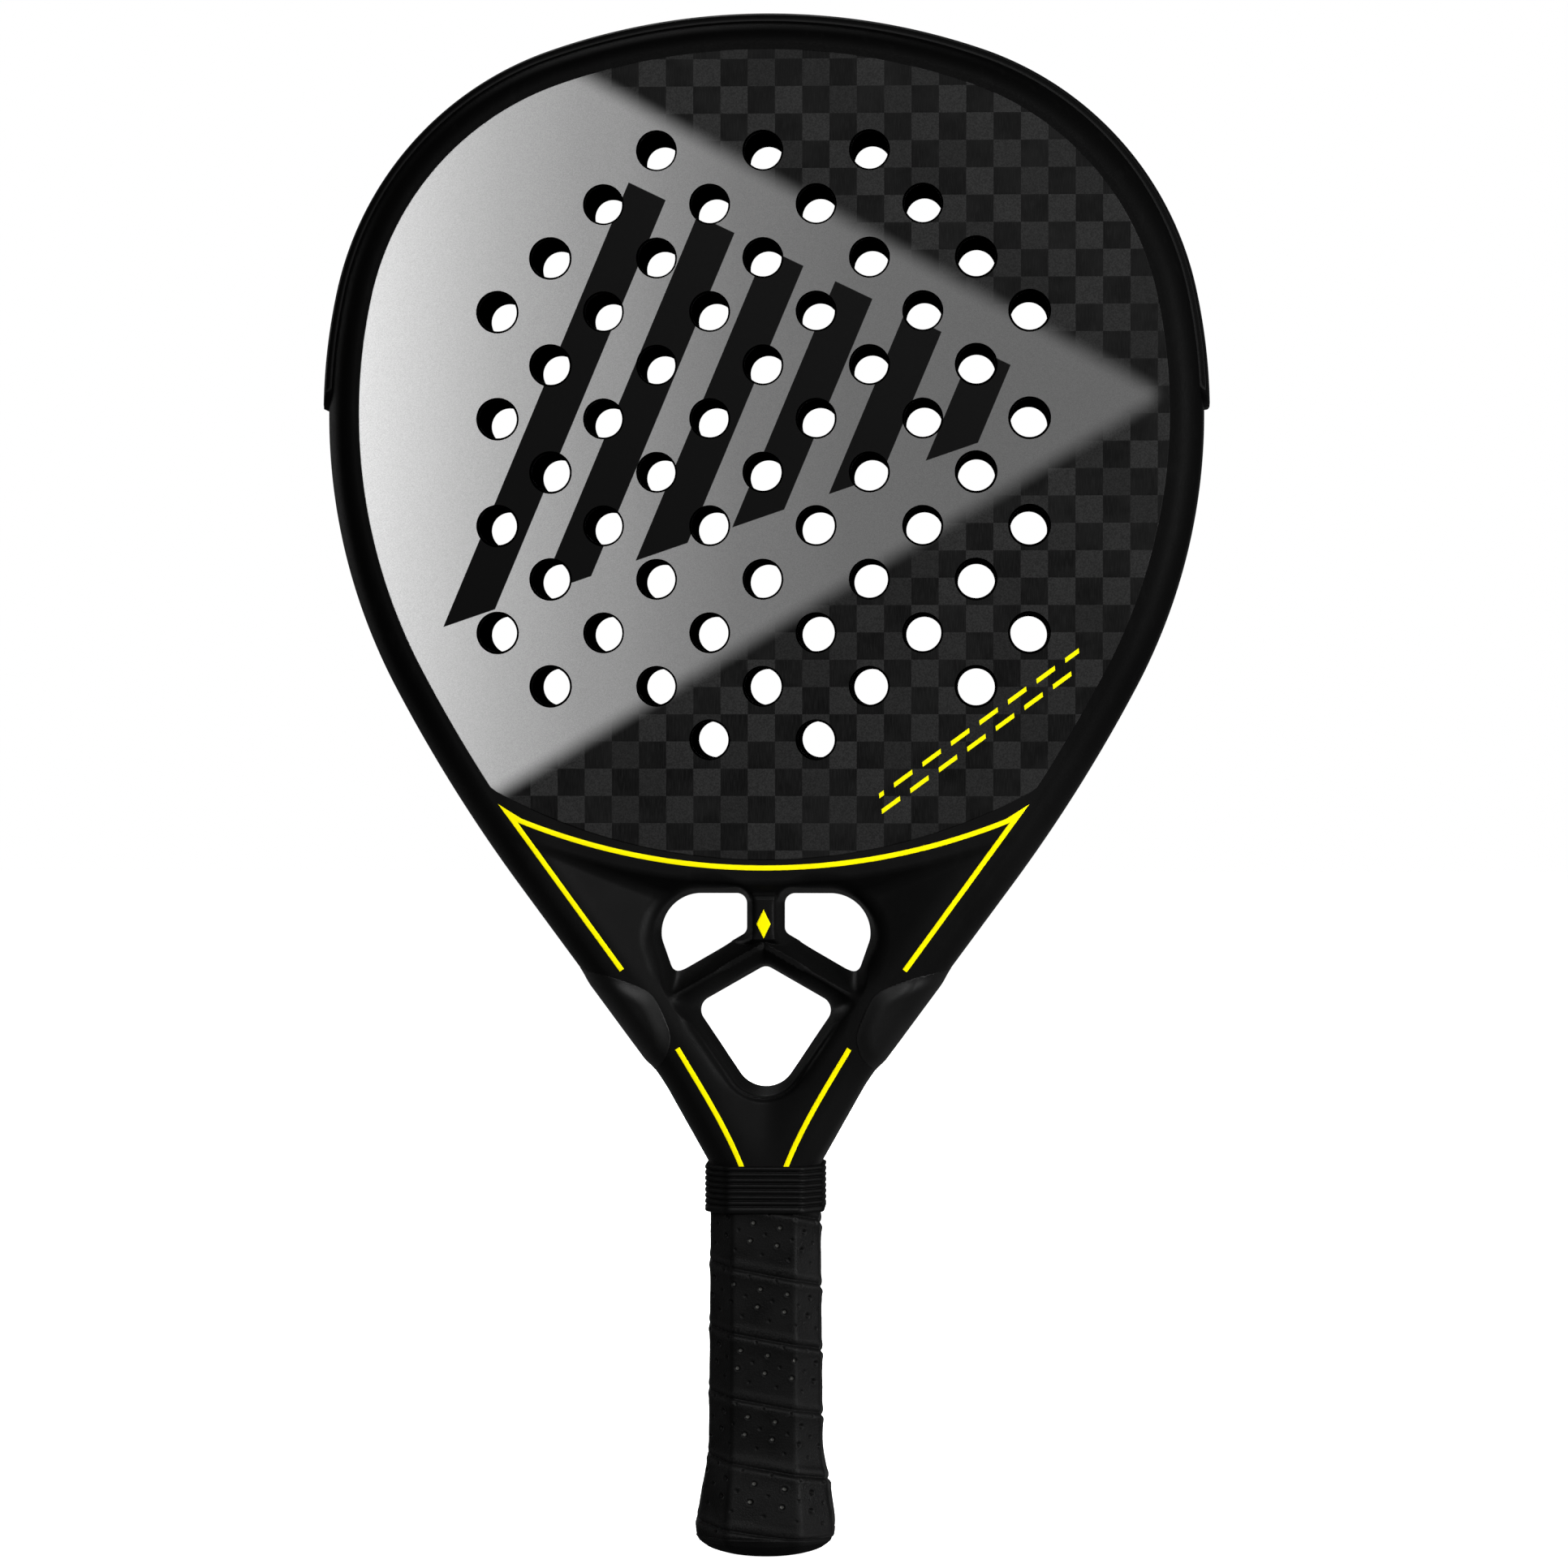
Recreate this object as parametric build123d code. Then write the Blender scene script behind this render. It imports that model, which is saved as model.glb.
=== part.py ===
"""Padel racket: hollow rim tube, foam core, two drilled faces, throat bridge, handle, grip and edge bumper.

Frame: millimetres, +Z from the butt to the tip of the head, +X across the face, +Y through the racket.
The origin is the middle of the butt's end. Each separate piece goes to parts/NODE.step.
"""

import math
import os

from build123d import *

# ---- Head and throat outline, right half: tangent arcs from the tip, then two straight runs ----
TIP_Z = 451.5
HEAD_ARCS = [(189.0, 19.1), (96.0, 58.4), (170.0, 40.3), (458.0, 8.5)]  # radius, degrees turned
ARM_KNEE = (30.0, 139.8)  # where the arm turns steeper
ARM_KNEE_R = 60.0
NECK_HALF_W = 16.5
NECK_Z = 115.8

# ---- Depth: full at the head, easing to the neck ----
HALF_DEPTH = 19.0
EASE_Z = 205.0
EASE_R = 970.0
SHOULDER_R = 9.0

# ---- Rim tube, its stub under the collar and its two legs in the handle ----
TUBE_W = 12.0
WALL = 1.0
STUB_HALF = (15.4, 13.6)
STUB_CORNER = 6.0
STUB_BASE_Z = 108.0
LEG_X = (2.8, 11.8)
LEG_HALF_D = 8.0
LEG_BASE_Z = 12.0
LEG_CAVITY_TOP_Z = 122.0

# ---- Faces and core ----
FACE_T = 0.7
FACE_INSET = 10.5
FACE_FOOT = (162.6, 205.3)  # radius and lowest z of the arc that ends the faces
HOLE_PITCH = (30.86, 15.51)
HOLE_TOP_Z = 410.5
HOLES_IN_ROW = [3, 4, 5, 6, 5, 6, 5, 6, 5, 6, 5, 2]
BORE_R = 5.45
RIM_ROUND = 0.5
WIDE_FROM_X = 55.0  # holes further out are a little wider
WIDE_BORE_R = 5.6
WIDE_RIM_ROUND = 0.6

# ---- Throat bridge ----
SHELF_W = 8.6  # from the faces' foot to the start of the scooped area
HOLLOW_INSET = 3.2
HOLLOW_FOOT_Z = 124.0
RIDGE_HALF_D = 15.5  # the Y-shaped strut and the scooped area's edge
PANEL_HALF_D = 12.5  # the deeper panels around the openings
PANEL_STEP = 3.5
SCOOP_DRAFT = 32.0
SCOOP_HALF_W = 53.0  # the scooped area's tips end here
CORNER_R = 3.0
STRUT_W = 13.0
STRUT_FORK_Z = 180.0
STRUT_ANGLE = 30.0
OPENING_DRAFT = 8.5
BRIDGE_WALL = 1.0
# corners of the openings (x, z, corner radius)
UPPER_OPENING = [
    (5.6, 194.7, 3.0),
    (5.6, 183.3, 2.5),
    (27.0, 170.9, 3.5),
    (30.7, 181.5, 8.0),
    (30.7, 194.7, 11.7),
]
LOWER_OPENING = [(0.0, 173.6, 3.0), (20.76, 161.7, 4.0), (0.0, 130.9, 9.0), (-20.76, 161.7, 4.0)]

# ---- Sleeves on the arms ----
SLEEVE_T = 0.55
SLEEVE_INSET = 11.9
# corners of the right sleeve, outside the arm and across it
SLEEVE_EDGE = [(58.0, 174.0), (40.8, 170.6), (26.0, 158.0), (27.6, 147.5), (35.0, 140.5)]
SLEEVE_ROUND = 2.5

# ---- Bumper ----
BUMPER_T = 1.7
BUMPER_HALF_W = 14.5
BUMPER_END_Z = 336.5
BUMPER_END_R = 9.0
TAPE_T = 0.3
TAPE_MARGIN = 2.5

# ---- Handle, butt cap and grip: octagon half sizes (x, y) and its corner cut ----
PALLET = (14.55, 12.6, 6.0)
CAP_FLOOR_Z = 4.0
# outside of the butt cap: z and how far it stands out from the pallet
CAP_SKIRT = [(30.0, 0.8), (23.0, 2.2), (13.5, 3.8), (8.8, 4.4), (6.0, 4.4)]
CAP_RIM = [(6.0, 6.2), (3.8, 5.6), (1.8, 4.0), (0.0, 1.0)]
CORD_HOLE_R = 2.6
CORD_HOLE_X = 6.0
CORD_POCKET = (22.0, 8.0, 6.0)
GRIP_T = 1.8
GRIP_FOOT_Z = 6.0
SEAM_Z = 83.8  # the first seam below the collar, at the middle of the front
SEAM_PITCH = 19.8
SEAM_DEPTH = 0.6
SEAM_W = 1.0

# ---- Collar and finishing tape ----
COLLAR_Z = (101.8, 115.6)
COLLAR = (17.5, 15.6, 6.6)
COLLAR_CORNER_R = 3.0
COLLAR_RIB_DEPTH = 0.55
COLLAR_RIBS = 7
COLLAR_LIP = 2.1
FINISH_T = 0.3
FINISH_FOOT_Z = 102.6


# ---------------------------------------------------------------- outlines

def head_points(inset):
    """Start, middle and end of each of the head's arcs, moved in by inset."""
    x, z, turned = 0.0, TIP_Z - inset, 0.0
    arcs = []
    for radius, sweep in HEAD_ARCS:
        points = [(x, z)]
        for share in (0.5, 1.0):
            after = turned + math.radians(sweep) * share
            across = (radius - inset) * (math.sin(after) - math.sin(turned))
            along = (radius - inset) * (math.cos(after) - math.cos(turned))
            points.append((x + across, z + along))
        arcs.append(points)
        x, z = points[-1]
        turned += math.radians(sweep)
    return arcs


def arm_corners(inset, foot_z):
    """Knee of the arm and the foot of its lower run, moved in by inset."""
    end = Vector(*head_points(0)[-1][-1])
    knee = Vector(*ARM_KNEE)
    neck = Vector(NECK_HALF_W, NECK_Z)
    runs = [(knee - end).normalized(), (neck - knee).normalized()]
    inward = [Vector(run.Y, -run.X) for run in runs]
    knee += (inward[0] + inward[1]) * (inset / (1 + inward[0].dot(inward[1])))
    foot_x = knee.X + runs[1].X * (foot_z - knee.Y) / runs[1].Y
    return (knee.X, knee.Y), (foot_x, foot_z)


def outline_face(inset=0.0, foot_z=NECK_Z):
    """The racket's front outline from foot_z to the tip, moved in by inset (out if negative)."""
    arcs = head_points(inset)
    knee, foot = arm_corners(inset, foot_z)
    edges = Curve() + [ThreePointArc(*points) for points in arcs]
    edges += FilletPolyline(arcs[-1][-1], knee, foot, radius=ARM_KNEE_R + inset)
    edges += mirror(edges, about=Plane.YZ)
    edges += Line((-foot[0], foot_z), foot)
    return make_face(edges)


def foot_disc(beyond=0.0):
    """A big disc whose lower edge is the arc that ends the faces, moved down by beyond."""
    radius, low = FACE_FOOT
    return Pos(0, low + radius) * Circle(radius + beyond)


def face_region(inset, beyond=0.0):
    """Head area inside the rim and above the foot arc."""
    radius, low = FACE_FOOT
    upper = Pos(0, low + radius + 150) * Rectangle(400, 300)
    return outline_face(inset) & (foot_disc(beyond) + upper)


def throat_region(inset, foot_z, beyond):
    """Area between the arms, below the foot arc moved down by beyond."""
    below = Pos(0, 170) * Rectangle(300, 200)
    return (outline_face(inset, foot_z) & below) - foot_disc(beyond)


def rounded_polygon(corners, grow=0.0):
    """A closed polygon with its own radius at each corner, grown by grow on every side."""
    face = make_face(Polyline(*[corner[:2] for corner in corners], close=True))
    if grow:
        face = offset(face, amount=grow, kind=Kind.INTERSECTION)
    for x, z, radius in corners:
        nearest = min(face.vertices(), key=lambda v: math.hypot(v.X - x, v.Y - z))
        face = fillet(nearest, radius=radius + grow)
    return face


def octagon(half_x, half_y, cut, grow=0.0):
    """Octagon with square corners cut by cut, grown by grow on every side."""
    x, y = half_x + grow, half_y + grow
    c = cut + grow * (2 - math.sqrt(2))
    right = [(x, y - c), (x - c, y)]
    points = right + [(-px, py) for px, py in reversed(right)]
    points += [(-px, -py) for px, py in points]
    return make_face(Polyline(*points, close=True))


# ---------------------------------------------------------------- solids shared by several pieces

def slab(face, half_depth):
    """A flat face drawn in X and Z, thickened equally to both sides of y = 0."""
    return extrude(Plane.XZ * face, amount=half_depth, both=True)


def depth_prism(grow=0.0):
    """Side profile as a long prism: full depth at the head, easing in an arc to the neck."""
    def side(z):
        return HALF_DEPTH + grow - (EASE_Z - z) ** 2 / (2 * EASE_R)
    low = NECK_Z - 10
    full = HALF_DEPTH + grow
    edges = Curve() + [
        Line((full, TIP_Z + 20), (full, EASE_Z)),
        ThreePointArc((full, EASE_Z), (side((low + EASE_Z) / 2), (low + EASE_Z) / 2), (side(low), low)),
    ]
    edges += mirror(edges, about=Plane.YZ)
    edges += Line((-full, TIP_Z + 20), (full, TIP_Z + 20))
    edges += Line((-side(low), low), (side(low), low))
    return extrude(Plane.YZ * make_face(edges), amount=200, both=True)


def moulding(grow=0.0, foot_z=NECK_Z):
    """The racket's body with rounded shoulders, filled from side to side, grown by grow."""
    body = slab(outline_face(-grow, foot_z), HALF_DEPTH + 10) & depth_prism(grow)
    shoulders = [
        edge for edge in body.edges()
        if abs(edge.center().Y) > 3 and edge.bounding_box().max.Z > foot_z + 0.5
    ]
    return fillet(shoulders, radius=SHOULDER_R + grow)


def hole_centres():
    """Centres of the drilled holes: a staggered grid, centred in every row."""
    pitch_x, pitch_z = HOLE_PITCH
    for row, count in enumerate(HOLES_IN_ROW):
        for index in range(count):
            yield (index - (count - 1) / 2) * pitch_x, HOLE_TOP_Z - row * pitch_z


def hole_radius(x):
    return WIDE_BORE_R if abs(x) > WIDE_FROM_X else BORE_R


def hole_pins():
    """All the holes as one flat sketch of discs."""
    return Sketch() + [Pos(x, z) * Circle(hole_radius(x)) for x, z in hole_centres()]


def leg_boxes(shrink, low, high):
    """Both legs' boxes inside the handle, walls moved in by shrink."""
    inner, outer = LEG_X
    width = outer - inner - 2 * shrink
    shape = RectangleRounded(width, 2 * (LEG_HALF_D - shrink), radius=2.0 - 0.8 * (shrink > 0))
    both = Sketch() + [Pos(side * (inner + outer) / 2, 0) * shape for side in (-1, 1)]
    return extrude(Pos(0, 0, low) * both, amount=high - low)


def stack(rings):
    """Solid lofted through octagons given as (z, grow)."""
    sections = [Pos(0, 0, z) * octagon(*PALLET, grow=grow) for z, grow in rings]
    return loft(sections, ruled=True)


# ---------------------------------------------------------------- pieces

def make_rim_tube(body):
    """Hoop of hollow tube from one handle leg round the head to the other."""
    hoop = body - slab(outline_face(TUBE_W, NECK_Z - 2), 40)
    bore = moulding(-WALL, NECK_Z + WALL) - slab(outline_face(FACE_INSET, NECK_Z), 40)
    stub_face = RectangleRounded(2 * STUB_HALF[0], 2 * STUB_HALF[1], radius=STUB_CORNER)
    stub = extrude(Pos(0, 0, STUB_BASE_Z) * stub_face, amount=NECK_Z - STUB_BASE_Z)
    legs = leg_boxes(0, LEG_BASE_Z, STUB_BASE_Z)
    leg_bores = leg_boxes(WALL, LEG_BASE_Z, LEG_CAVITY_TOP_Z)
    skins = slab(face_region(FACE_INSET), 40) - slab(face_region(FACE_INSET), HALF_DEPTH - FACE_T)
    return hoop + stub + legs - bore - leg_bores - skins


def make_core():
    """Foam core that fills the head between the faces."""
    face = face_region(TUBE_W, FACE_INSET - TUBE_W)
    return slab(face, HALF_DEPTH - FACE_T) - slab(hole_pins(), 40)


def make_face_skin():
    """Front face: laminate sheet with rounded holes; its outside is at -HALF_DEPTH."""
    sheet = extrude(Plane.XZ.offset(HALF_DEPTH - FACE_T) * face_region(FACE_INSET), amount=FACE_T)
    sheet -= slab(hole_pins(), 40)
    rims = [
        edge for edge in sheet.edges()
        if edge.geom_type == GeomType.CIRCLE and edge.radius < 7 and abs(edge.center().Y) > HALF_DEPTH - 0.01
    ]
    wide = [edge for edge in rims if edge.radius > (BORE_R + WIDE_BORE_R) / 2]
    plain = [edge for edge in rims if edge.radius < (BORE_R + WIDE_BORE_R) / 2]
    wide_places = [edge.center() for edge in wide]
    sheet = fillet(plain, radius=RIM_ROUND)
    wide = [
        edge for edge in sheet.edges()
        if edge.geom_type == GeomType.CIRCLE and abs(edge.center().Y) > HALF_DEPTH - 0.01
        and any((edge.center() - place).length < 0.01 for place in wide_places)
    ]
    return fillet(wide, radius=WIDE_RIM_ROUND)


def strut_shape():
    """The Y-shaped strut seen from the front: one upright bar and two falling arms."""
    upright = Pos(0, STRUT_FORK_Z + 20) * Rectangle(STRUT_W, 40)
    bar = Pos(35, 0) * Rectangle(70, STRUT_W)
    fork = Pos(0, STRUT_FORK_Z)
    arms = [fork * Rot(0, 0, angle) * bar for angle in (-STRUT_ANGLE, 180 + STRUT_ANGLE)]
    return Sketch() + [upright] + arms


def opening_cuts(wall):
    """Front halves of the throat openings at the right and the middle, narrowest at y = 0, wider by wall."""
    shapes = [rounded_polygon(UPPER_OPENING, wall), rounded_polygon(LOWER_OPENING, wall)]
    return [extrude(Plane.XZ * shape, amount=25, taper=-OPENING_DRAFT) for shape in shapes]


def scoop_shape():
    """Scooped area between the arms, its corners rounded."""
    area = throat_region(TUBE_W + HOLLOW_INSET, HOLLOW_FOOT_Z, SHELF_W)
    area &= Pos(0, 170) * Rectangle(2 * SCOOP_HALF_W, 200)
    box = area.bounding_box()
    corners = [v for v in area.vertices() if v.Y < box.min.Y + 0.1 or abs(v.X) > box.max.X - 0.1]
    return fillet(corners, radius=CORNER_R)


def scoop_cuts(wall):
    """Drafted pockets in the front: the whole scooped area, then the deeper panels beside the strut."""
    area = scoop_shape()
    ridge = extrude(Plane.XZ.offset(RIDGE_HALF_D - wall) * area, amount=10, taper=-SCOOP_DRAFT)
    panels = offset(area, amount=-PANEL_STEP) - strut_shape()
    floor = Plane.XZ.offset(PANEL_HALF_D - wall)
    return [ridge] + [extrude(floor * face, amount=8, taper=-SCOOP_DRAFT / 2) for face in panels.faces()]


def bridge_block(wall):
    """The bridge's outside, or with a wall the inside of its shell: one quarter, mirrored twice."""
    area = throat_region(TUBE_W + wall, NECK_Z + wall, FACE_INSET - TUBE_W + wall)
    block = slab(area, 40) & depth_prism(-wall) & Pos(100, -50, 200) * Box(200, 100, 400)
    for cut in scoop_cuts(wall) + opening_cuts(wall):
        block -= cut
    block += mirror(block, about=Plane.XZ)
    return block + mirror(block, about=Plane.YZ)


def make_throat_bridge():
    """Moulded shell between the arms: scooped panels, a Y-shaped strut and three openings."""
    ledge = slab(foot_disc(), 40) - slab(foot_disc(), HALF_DEPTH - FACE_T)
    return bridge_block(0) - ledge - make_bridge_foam()


def make_bridge_foam():
    """Foam that fills the throat bridge's shell."""
    return bridge_block(BRIDGE_WALL)


def make_right_sleeve():
    """Wrap over the right arm: front, side and back."""
    shape = fillet((make_face(Polyline(*SLEEVE_EDGE, close=True))).vertices(), radius=SLEEVE_ROUND)
    area = (outline_face(-5) & shape) - outline_face(SLEEVE_INSET, NECK_Z - 10)
    return (moulding(SLEEVE_T) - moulding()) & slab(area, 40)


def bumper_zone(half_width, low):
    """Long prism that keeps the bumper's width and rounds its ends."""
    shape = Pos(0, low + 100) * RectangleRounded(2 * half_width, 200, radius=BUMPER_END_R)
    return extrude(Plane.YZ * shape, amount=200, both=True)


def make_bumper():
    shell = moulding(TAPE_T + BUMPER_T) - moulding(TAPE_T)
    return shell & bumper_zone(BUMPER_HALF_W, BUMPER_END_Z)


def make_bumper_tape():
    shell = moulding(TAPE_T) - moulding()
    return shell & bumper_zone(BUMPER_HALF_W - TAPE_MARGIN, BUMPER_END_Z + TAPE_MARGIN)


def make_leg_spacer():
    """Foam strip between the two legs."""
    gap = 2 * LEG_X[0]
    height = STUB_BASE_Z - LEG_BASE_Z
    return Pos(0, 0, LEG_BASE_Z + height / 2) * Box(gap, 2 * LEG_HALF_D, height)


def make_handle_foam():
    """Front half of the foam pallet; the legs lie in its recess and the cord pocket is in its end."""
    half = extrude(Pos(0, 0, CAP_FLOOR_Z) * octagon(*PALLET), amount=STUB_BASE_Z - CAP_FLOOR_Z)
    half &= Pos(0, -50, 50) * Box(100, 100, 300)
    length, width, height = CORD_POCKET
    pocket = Pos(0, 0, CAP_FLOOR_Z + height / 2) * Box(length, width, height)
    legs = leg_boxes(0, LEG_BASE_Z, STUB_BASE_Z)
    return half - pocket - legs - make_leg_spacer()


def make_butt_cap():
    """Flared cap over the pallet's end, with two holes for a wrist cord."""
    outside = stack(CAP_SKIRT) + stack(CAP_RIM)
    seat = extrude(Pos(0, 0, CAP_FLOOR_Z) * octagon(*PALLET), amount=40)
    holes = [Pos(side * CORD_HOLE_X, 0) * Cylinder(CORD_HOLE_R, 40) for side in (-1, 1)]
    return outside - seat - holes


def grip_corner(index, z):
    """Corner of the grip's outside at a height; corners count from the front's left one, going right."""
    profile = [(STUB_BASE_Z, 0.0), (CAP_SKIRT[0][0], 0.0)] + CAP_SKIRT
    grow = CAP_SKIRT[-1][1]
    for (z_high, g_high), (z_low, g_low) in zip(profile, profile[1:]):
        if z_low < z <= z_high:
            grow = g_low + (g_high - g_low) * (z - z_low) / (z_high - z_low)
    half_x, half_y, cut = PALLET
    x, y = half_x + grow + GRIP_T, half_y + grow + GRIP_T
    c = cut + (grow + GRIP_T) * (2 - math.sqrt(2))
    quarter = [(x - c, -y), (x, c - y)]
    right = quarter + [(px, -py) for px, py in reversed(quarter)]
    corners = [(c - x, -y)] + right + [(-px, -py) for px, py in right[:3]]
    return Vector(*corners[index % 8], z)


def seam_grooves():
    """Straight V-shaped tools, one per flat of the octagon, that follow the tape's seam down."""
    lengths = [(grip_corner(k + 1, 80) - grip_corner(k, 80)).length for k in range(8)]
    z = SEAM_Z + SEAM_PITCH * (3 + lengths[0] / 2 / sum(lengths))
    tools = []
    for k in range(8 * 8):
        z_next = z - SEAM_PITCH * lengths[k % 8] / sum(lengths)
        if z < COLLAR_Z[0] and z_next > GRIP_FOOT_Z + 2:
            start, end = grip_corner(k, z), grip_corner(k + 1, z_next)
            run = (end - start).normalized()
            outward = Vector(run.Y, -run.X).normalized()
            section = Plane(start - run * 0.2, x_dir=outward, z_dir=run)
            corners = [(SEAM_DEPTH, 0), (0, SEAM_W / 2), (-SEAM_DEPTH, 0), (0, -SEAM_W / 2)]
            diamond = make_face(Polyline(*corners, close=True))
            tools.append(extrude(section * diamond, amount=(end - start).length + 0.4))
        z = z_next
    return tools


def make_grip():
    """Tape wound round the handle, with a groove along its seams."""
    outside = [(z, grow + GRIP_T) for z, grow in CAP_SKIRT]
    top = [(STUB_BASE_Z, 0.0), (CAP_SKIRT[0][0], 0.0)]
    outer = stack([(z, GRIP_T) for z, _ in top]) + stack(outside)
    inner = stack(top) + stack(CAP_SKIRT)
    return outer - inner - seam_grooves()


def octagon_tube(grow, low, high):
    return extrude(Pos(0, 0, low) * octagon(*PALLET, grow=grow), amount=high - low)


def make_finishing_tape():
    """Thin tape that holds the top end of the grip, under the collar."""
    return octagon_tube(GRIP_T + FINISH_T, FINISH_FOOT_Z, STUB_BASE_Z) - octagon_tube(GRIP_T, 0, 200)


def make_collar():
    """Ribbed rubber ring over the grip's top end and the moulding's stub."""
    low, high = COLLAR_Z
    shape = fillet(octagon(*COLLAR).vertices(), radius=COLLAR_CORNER_R)
    ring = extrude(Pos(0, 0, low) * shape, amount=high - low)
    ring = fillet(ring.faces().sort_by(Axis.Z)[0].edges(), radius=0.5)
    pitch = (high - low - COLLAR_LIP) / COLLAR_RIBS
    inner = offset(shape, amount=-COLLAR_RIB_DEPTH)
    groove = extrude(shape, amount=0.5) - extrude(inner, amount=0.5)
    ring -= [Pos(0, 0, low + COLLAR_LIP + index * pitch) * groove for index in range(COLLAR_RIBS)]
    stub_face = RectangleRounded(2 * STUB_HALF[0], 2 * STUB_HALF[1], radius=STUB_CORNER)
    stub = extrude(Pos(0, 0, STUB_BASE_Z) * stub_face, amount=20)
    return ring - stub - octagon_tube(GRIP_T + FINISH_T, 0, STUB_BASE_Z)


def make_all():
    """Every node's solid, by name."""
    body = moulding()
    face = make_face_skin()
    sleeve = make_right_sleeve()
    foam = make_handle_foam()
    return {
        "rim_tube": make_rim_tube(body),
        "throat_bridge": make_throat_bridge(),
        "bridge_foam": make_bridge_foam(),
        "eva_core": make_core(),
        "front_face": face,
        "back_face": mirror(face, about=Plane.XZ),
        "right_arm_sleeve": sleeve,
        "left_arm_sleeve": mirror(sleeve, about=Plane.YZ),
        "bumper": make_bumper(),
        "bumper_tape": make_bumper_tape(),
        "leg_spacer": make_leg_spacer(),
        "handle_foam_front": foam,
        "handle_foam_back": mirror(foam, about=Plane.XZ),
        "butt_cap": make_butt_cap(),
        "grip_tape": make_grip(),
        "finishing_tape": make_finishing_tape(),
        "grip_collar": make_collar(),
    }


os.makedirs("parts", exist_ok=True)
for node, solid in make_all().items():
    solid.label = node
    export_step(solid, f"parts/{node}.step")
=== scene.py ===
"""Looks of the padel racket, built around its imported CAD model. Lengths below are in mm."""

import math

import bpy
import numpy as np
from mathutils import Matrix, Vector
from mathutils.geometry import delaunay_2d_cdt


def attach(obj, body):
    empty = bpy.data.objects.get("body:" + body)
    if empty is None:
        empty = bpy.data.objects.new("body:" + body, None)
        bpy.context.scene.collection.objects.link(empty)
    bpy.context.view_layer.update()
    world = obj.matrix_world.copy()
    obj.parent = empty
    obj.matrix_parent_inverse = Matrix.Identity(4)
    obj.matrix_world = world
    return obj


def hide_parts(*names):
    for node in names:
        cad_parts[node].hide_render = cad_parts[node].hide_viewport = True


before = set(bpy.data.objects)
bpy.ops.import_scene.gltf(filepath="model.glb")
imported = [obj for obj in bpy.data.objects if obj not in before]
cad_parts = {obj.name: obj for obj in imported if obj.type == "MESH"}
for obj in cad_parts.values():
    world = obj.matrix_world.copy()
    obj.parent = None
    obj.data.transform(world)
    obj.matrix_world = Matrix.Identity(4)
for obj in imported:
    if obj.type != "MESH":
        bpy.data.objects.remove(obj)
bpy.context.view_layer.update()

MM = 0.001

# the moulding: outline of the head and arms, and its depth
TIP_Z = 450.3
HEAD_ARCS = [(192.8, 19.1), (94.0, 58.4), (170.0, 40.3), (458.0, 8.5)]  # radius, degrees turned
ARM_KNEE = (30.0, 139.8)
NECK = (16.5, 115.8)
KNEE_BLEND = 0.44
HALF_DEPTH = 19.0
EASE_Z = 205.0
EASE_R = 970.0
SHOULDER_R, SHOULDER_DEEP = 9.0, 15.0  # the shoulder is an ellipse: this far outward, and this far in depth

# the playing faces
FACE_INSET = 10.5
FACE_FOOT = (162.6, 205.3)
HOLE_PITCH = (30.86, 15.51)
HOLE_TOP_Z = 410.5
HOLES_IN_ROW = [3, 4, 5, 6, 5, 6, 5, 6, 5, 6, 5, 2]

# the throat
OPENING_DRAFT = math.tan(math.radians(8.5))
UPPER_OPENING = [(5.6, 194.7, 3), (5.6, 183.3, 2.5), (27, 170.9, 3.5), (30.7, 181.5, 8), (30.7, 194.7, 11.7)]
LOWER_OPENING = [(0, 173.6, 3), (20.76, 161.7, 4), (0, 130.9, 9), (-20.76, 161.7, 4)]
SHELF_ARC = (392.6, 194.3)  # centre z and radius of the edge where the throat starts to fall away
STRUT_TOP = 15.5
STRUT_Z = 180.2
STRUT_SLOPE = (3.0, 1.6)  # above and below the ridge
SLEEVE_EDGE = [(70, 176.5), (40.8, 170.4), (32.6, 166.6), (28.6, 160.0), (26.6, 153.2), (28.2, 147.0), (36.0, 139.2)]

# thin parts on the surface
BUMPER_FOOT_Z, BUMPER_REACH, BUMPER_END_R = 336.5, 12.7, 7.0
FACE_LEVEL = HALF_DEPTH + 0.07
LINE_WIDTH, LINE_RISE = 1.5, 0.09
LINE_TIP, LINE_END = (74.3, 218.6), (41.1, 172.9)
LINE_ARC = (392.6, 189.9)  # centre z and radius
LOWER_LINE = [(25.0, 150.1), (20.0, 141.8), (13.6, 130.4), (9.2, 122.0), (6.4, 115.2)]
LOZENGE_Z, LOZENGE_HALF = 186.3, 4.2

# the handle: half width, half depth and corner cut of its octagons
PALLET = (14.55, 12.6, 6.0)
COLLAR = (17.5, 15.6, 6.6)
COLLAR_Z, COLLAR_RIBS = (101.8, 115.6), 7
RIB = ((0, 0), (0.10, -0.15), (0.17, -0.5), (0.26, -0.62), (0.36, -0.5), (0.44, -0.15), (0.56, 0.0), (0.8, 0.04))
GRIP_RINGS = [(3.2, 4.6), (6.0, 5.6), (8.8, 5.75), (13.5, 5.1), (23.0, 3.5), (30.0, 1.95), (103.6, 1.35)]  # z, growth
SEAM_Z, SEAM_PITCH = 83.9, 18.95
TAPE_SPACING, HOLE_PHASE = 8.51, 4.8
TAPE_CREEP, TAPE_WANDER = 0.95, 0.85
BIG_ROWS, SMALL_ROWS = (9.1, 14.35), (5.7, 11.6, 17.6)
BUTT_RINGS = [(7.0, 5.1), (5.4, 5.2), (4.2, 5.0), (3.2, 4.5), (2.3, 3.8), (1.6, 2.9), (1.0, 2.1), (0.55, 0.8),
              (0.25, -0.7), (0.07, -2.4), (0.0, -4.2)]
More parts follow.
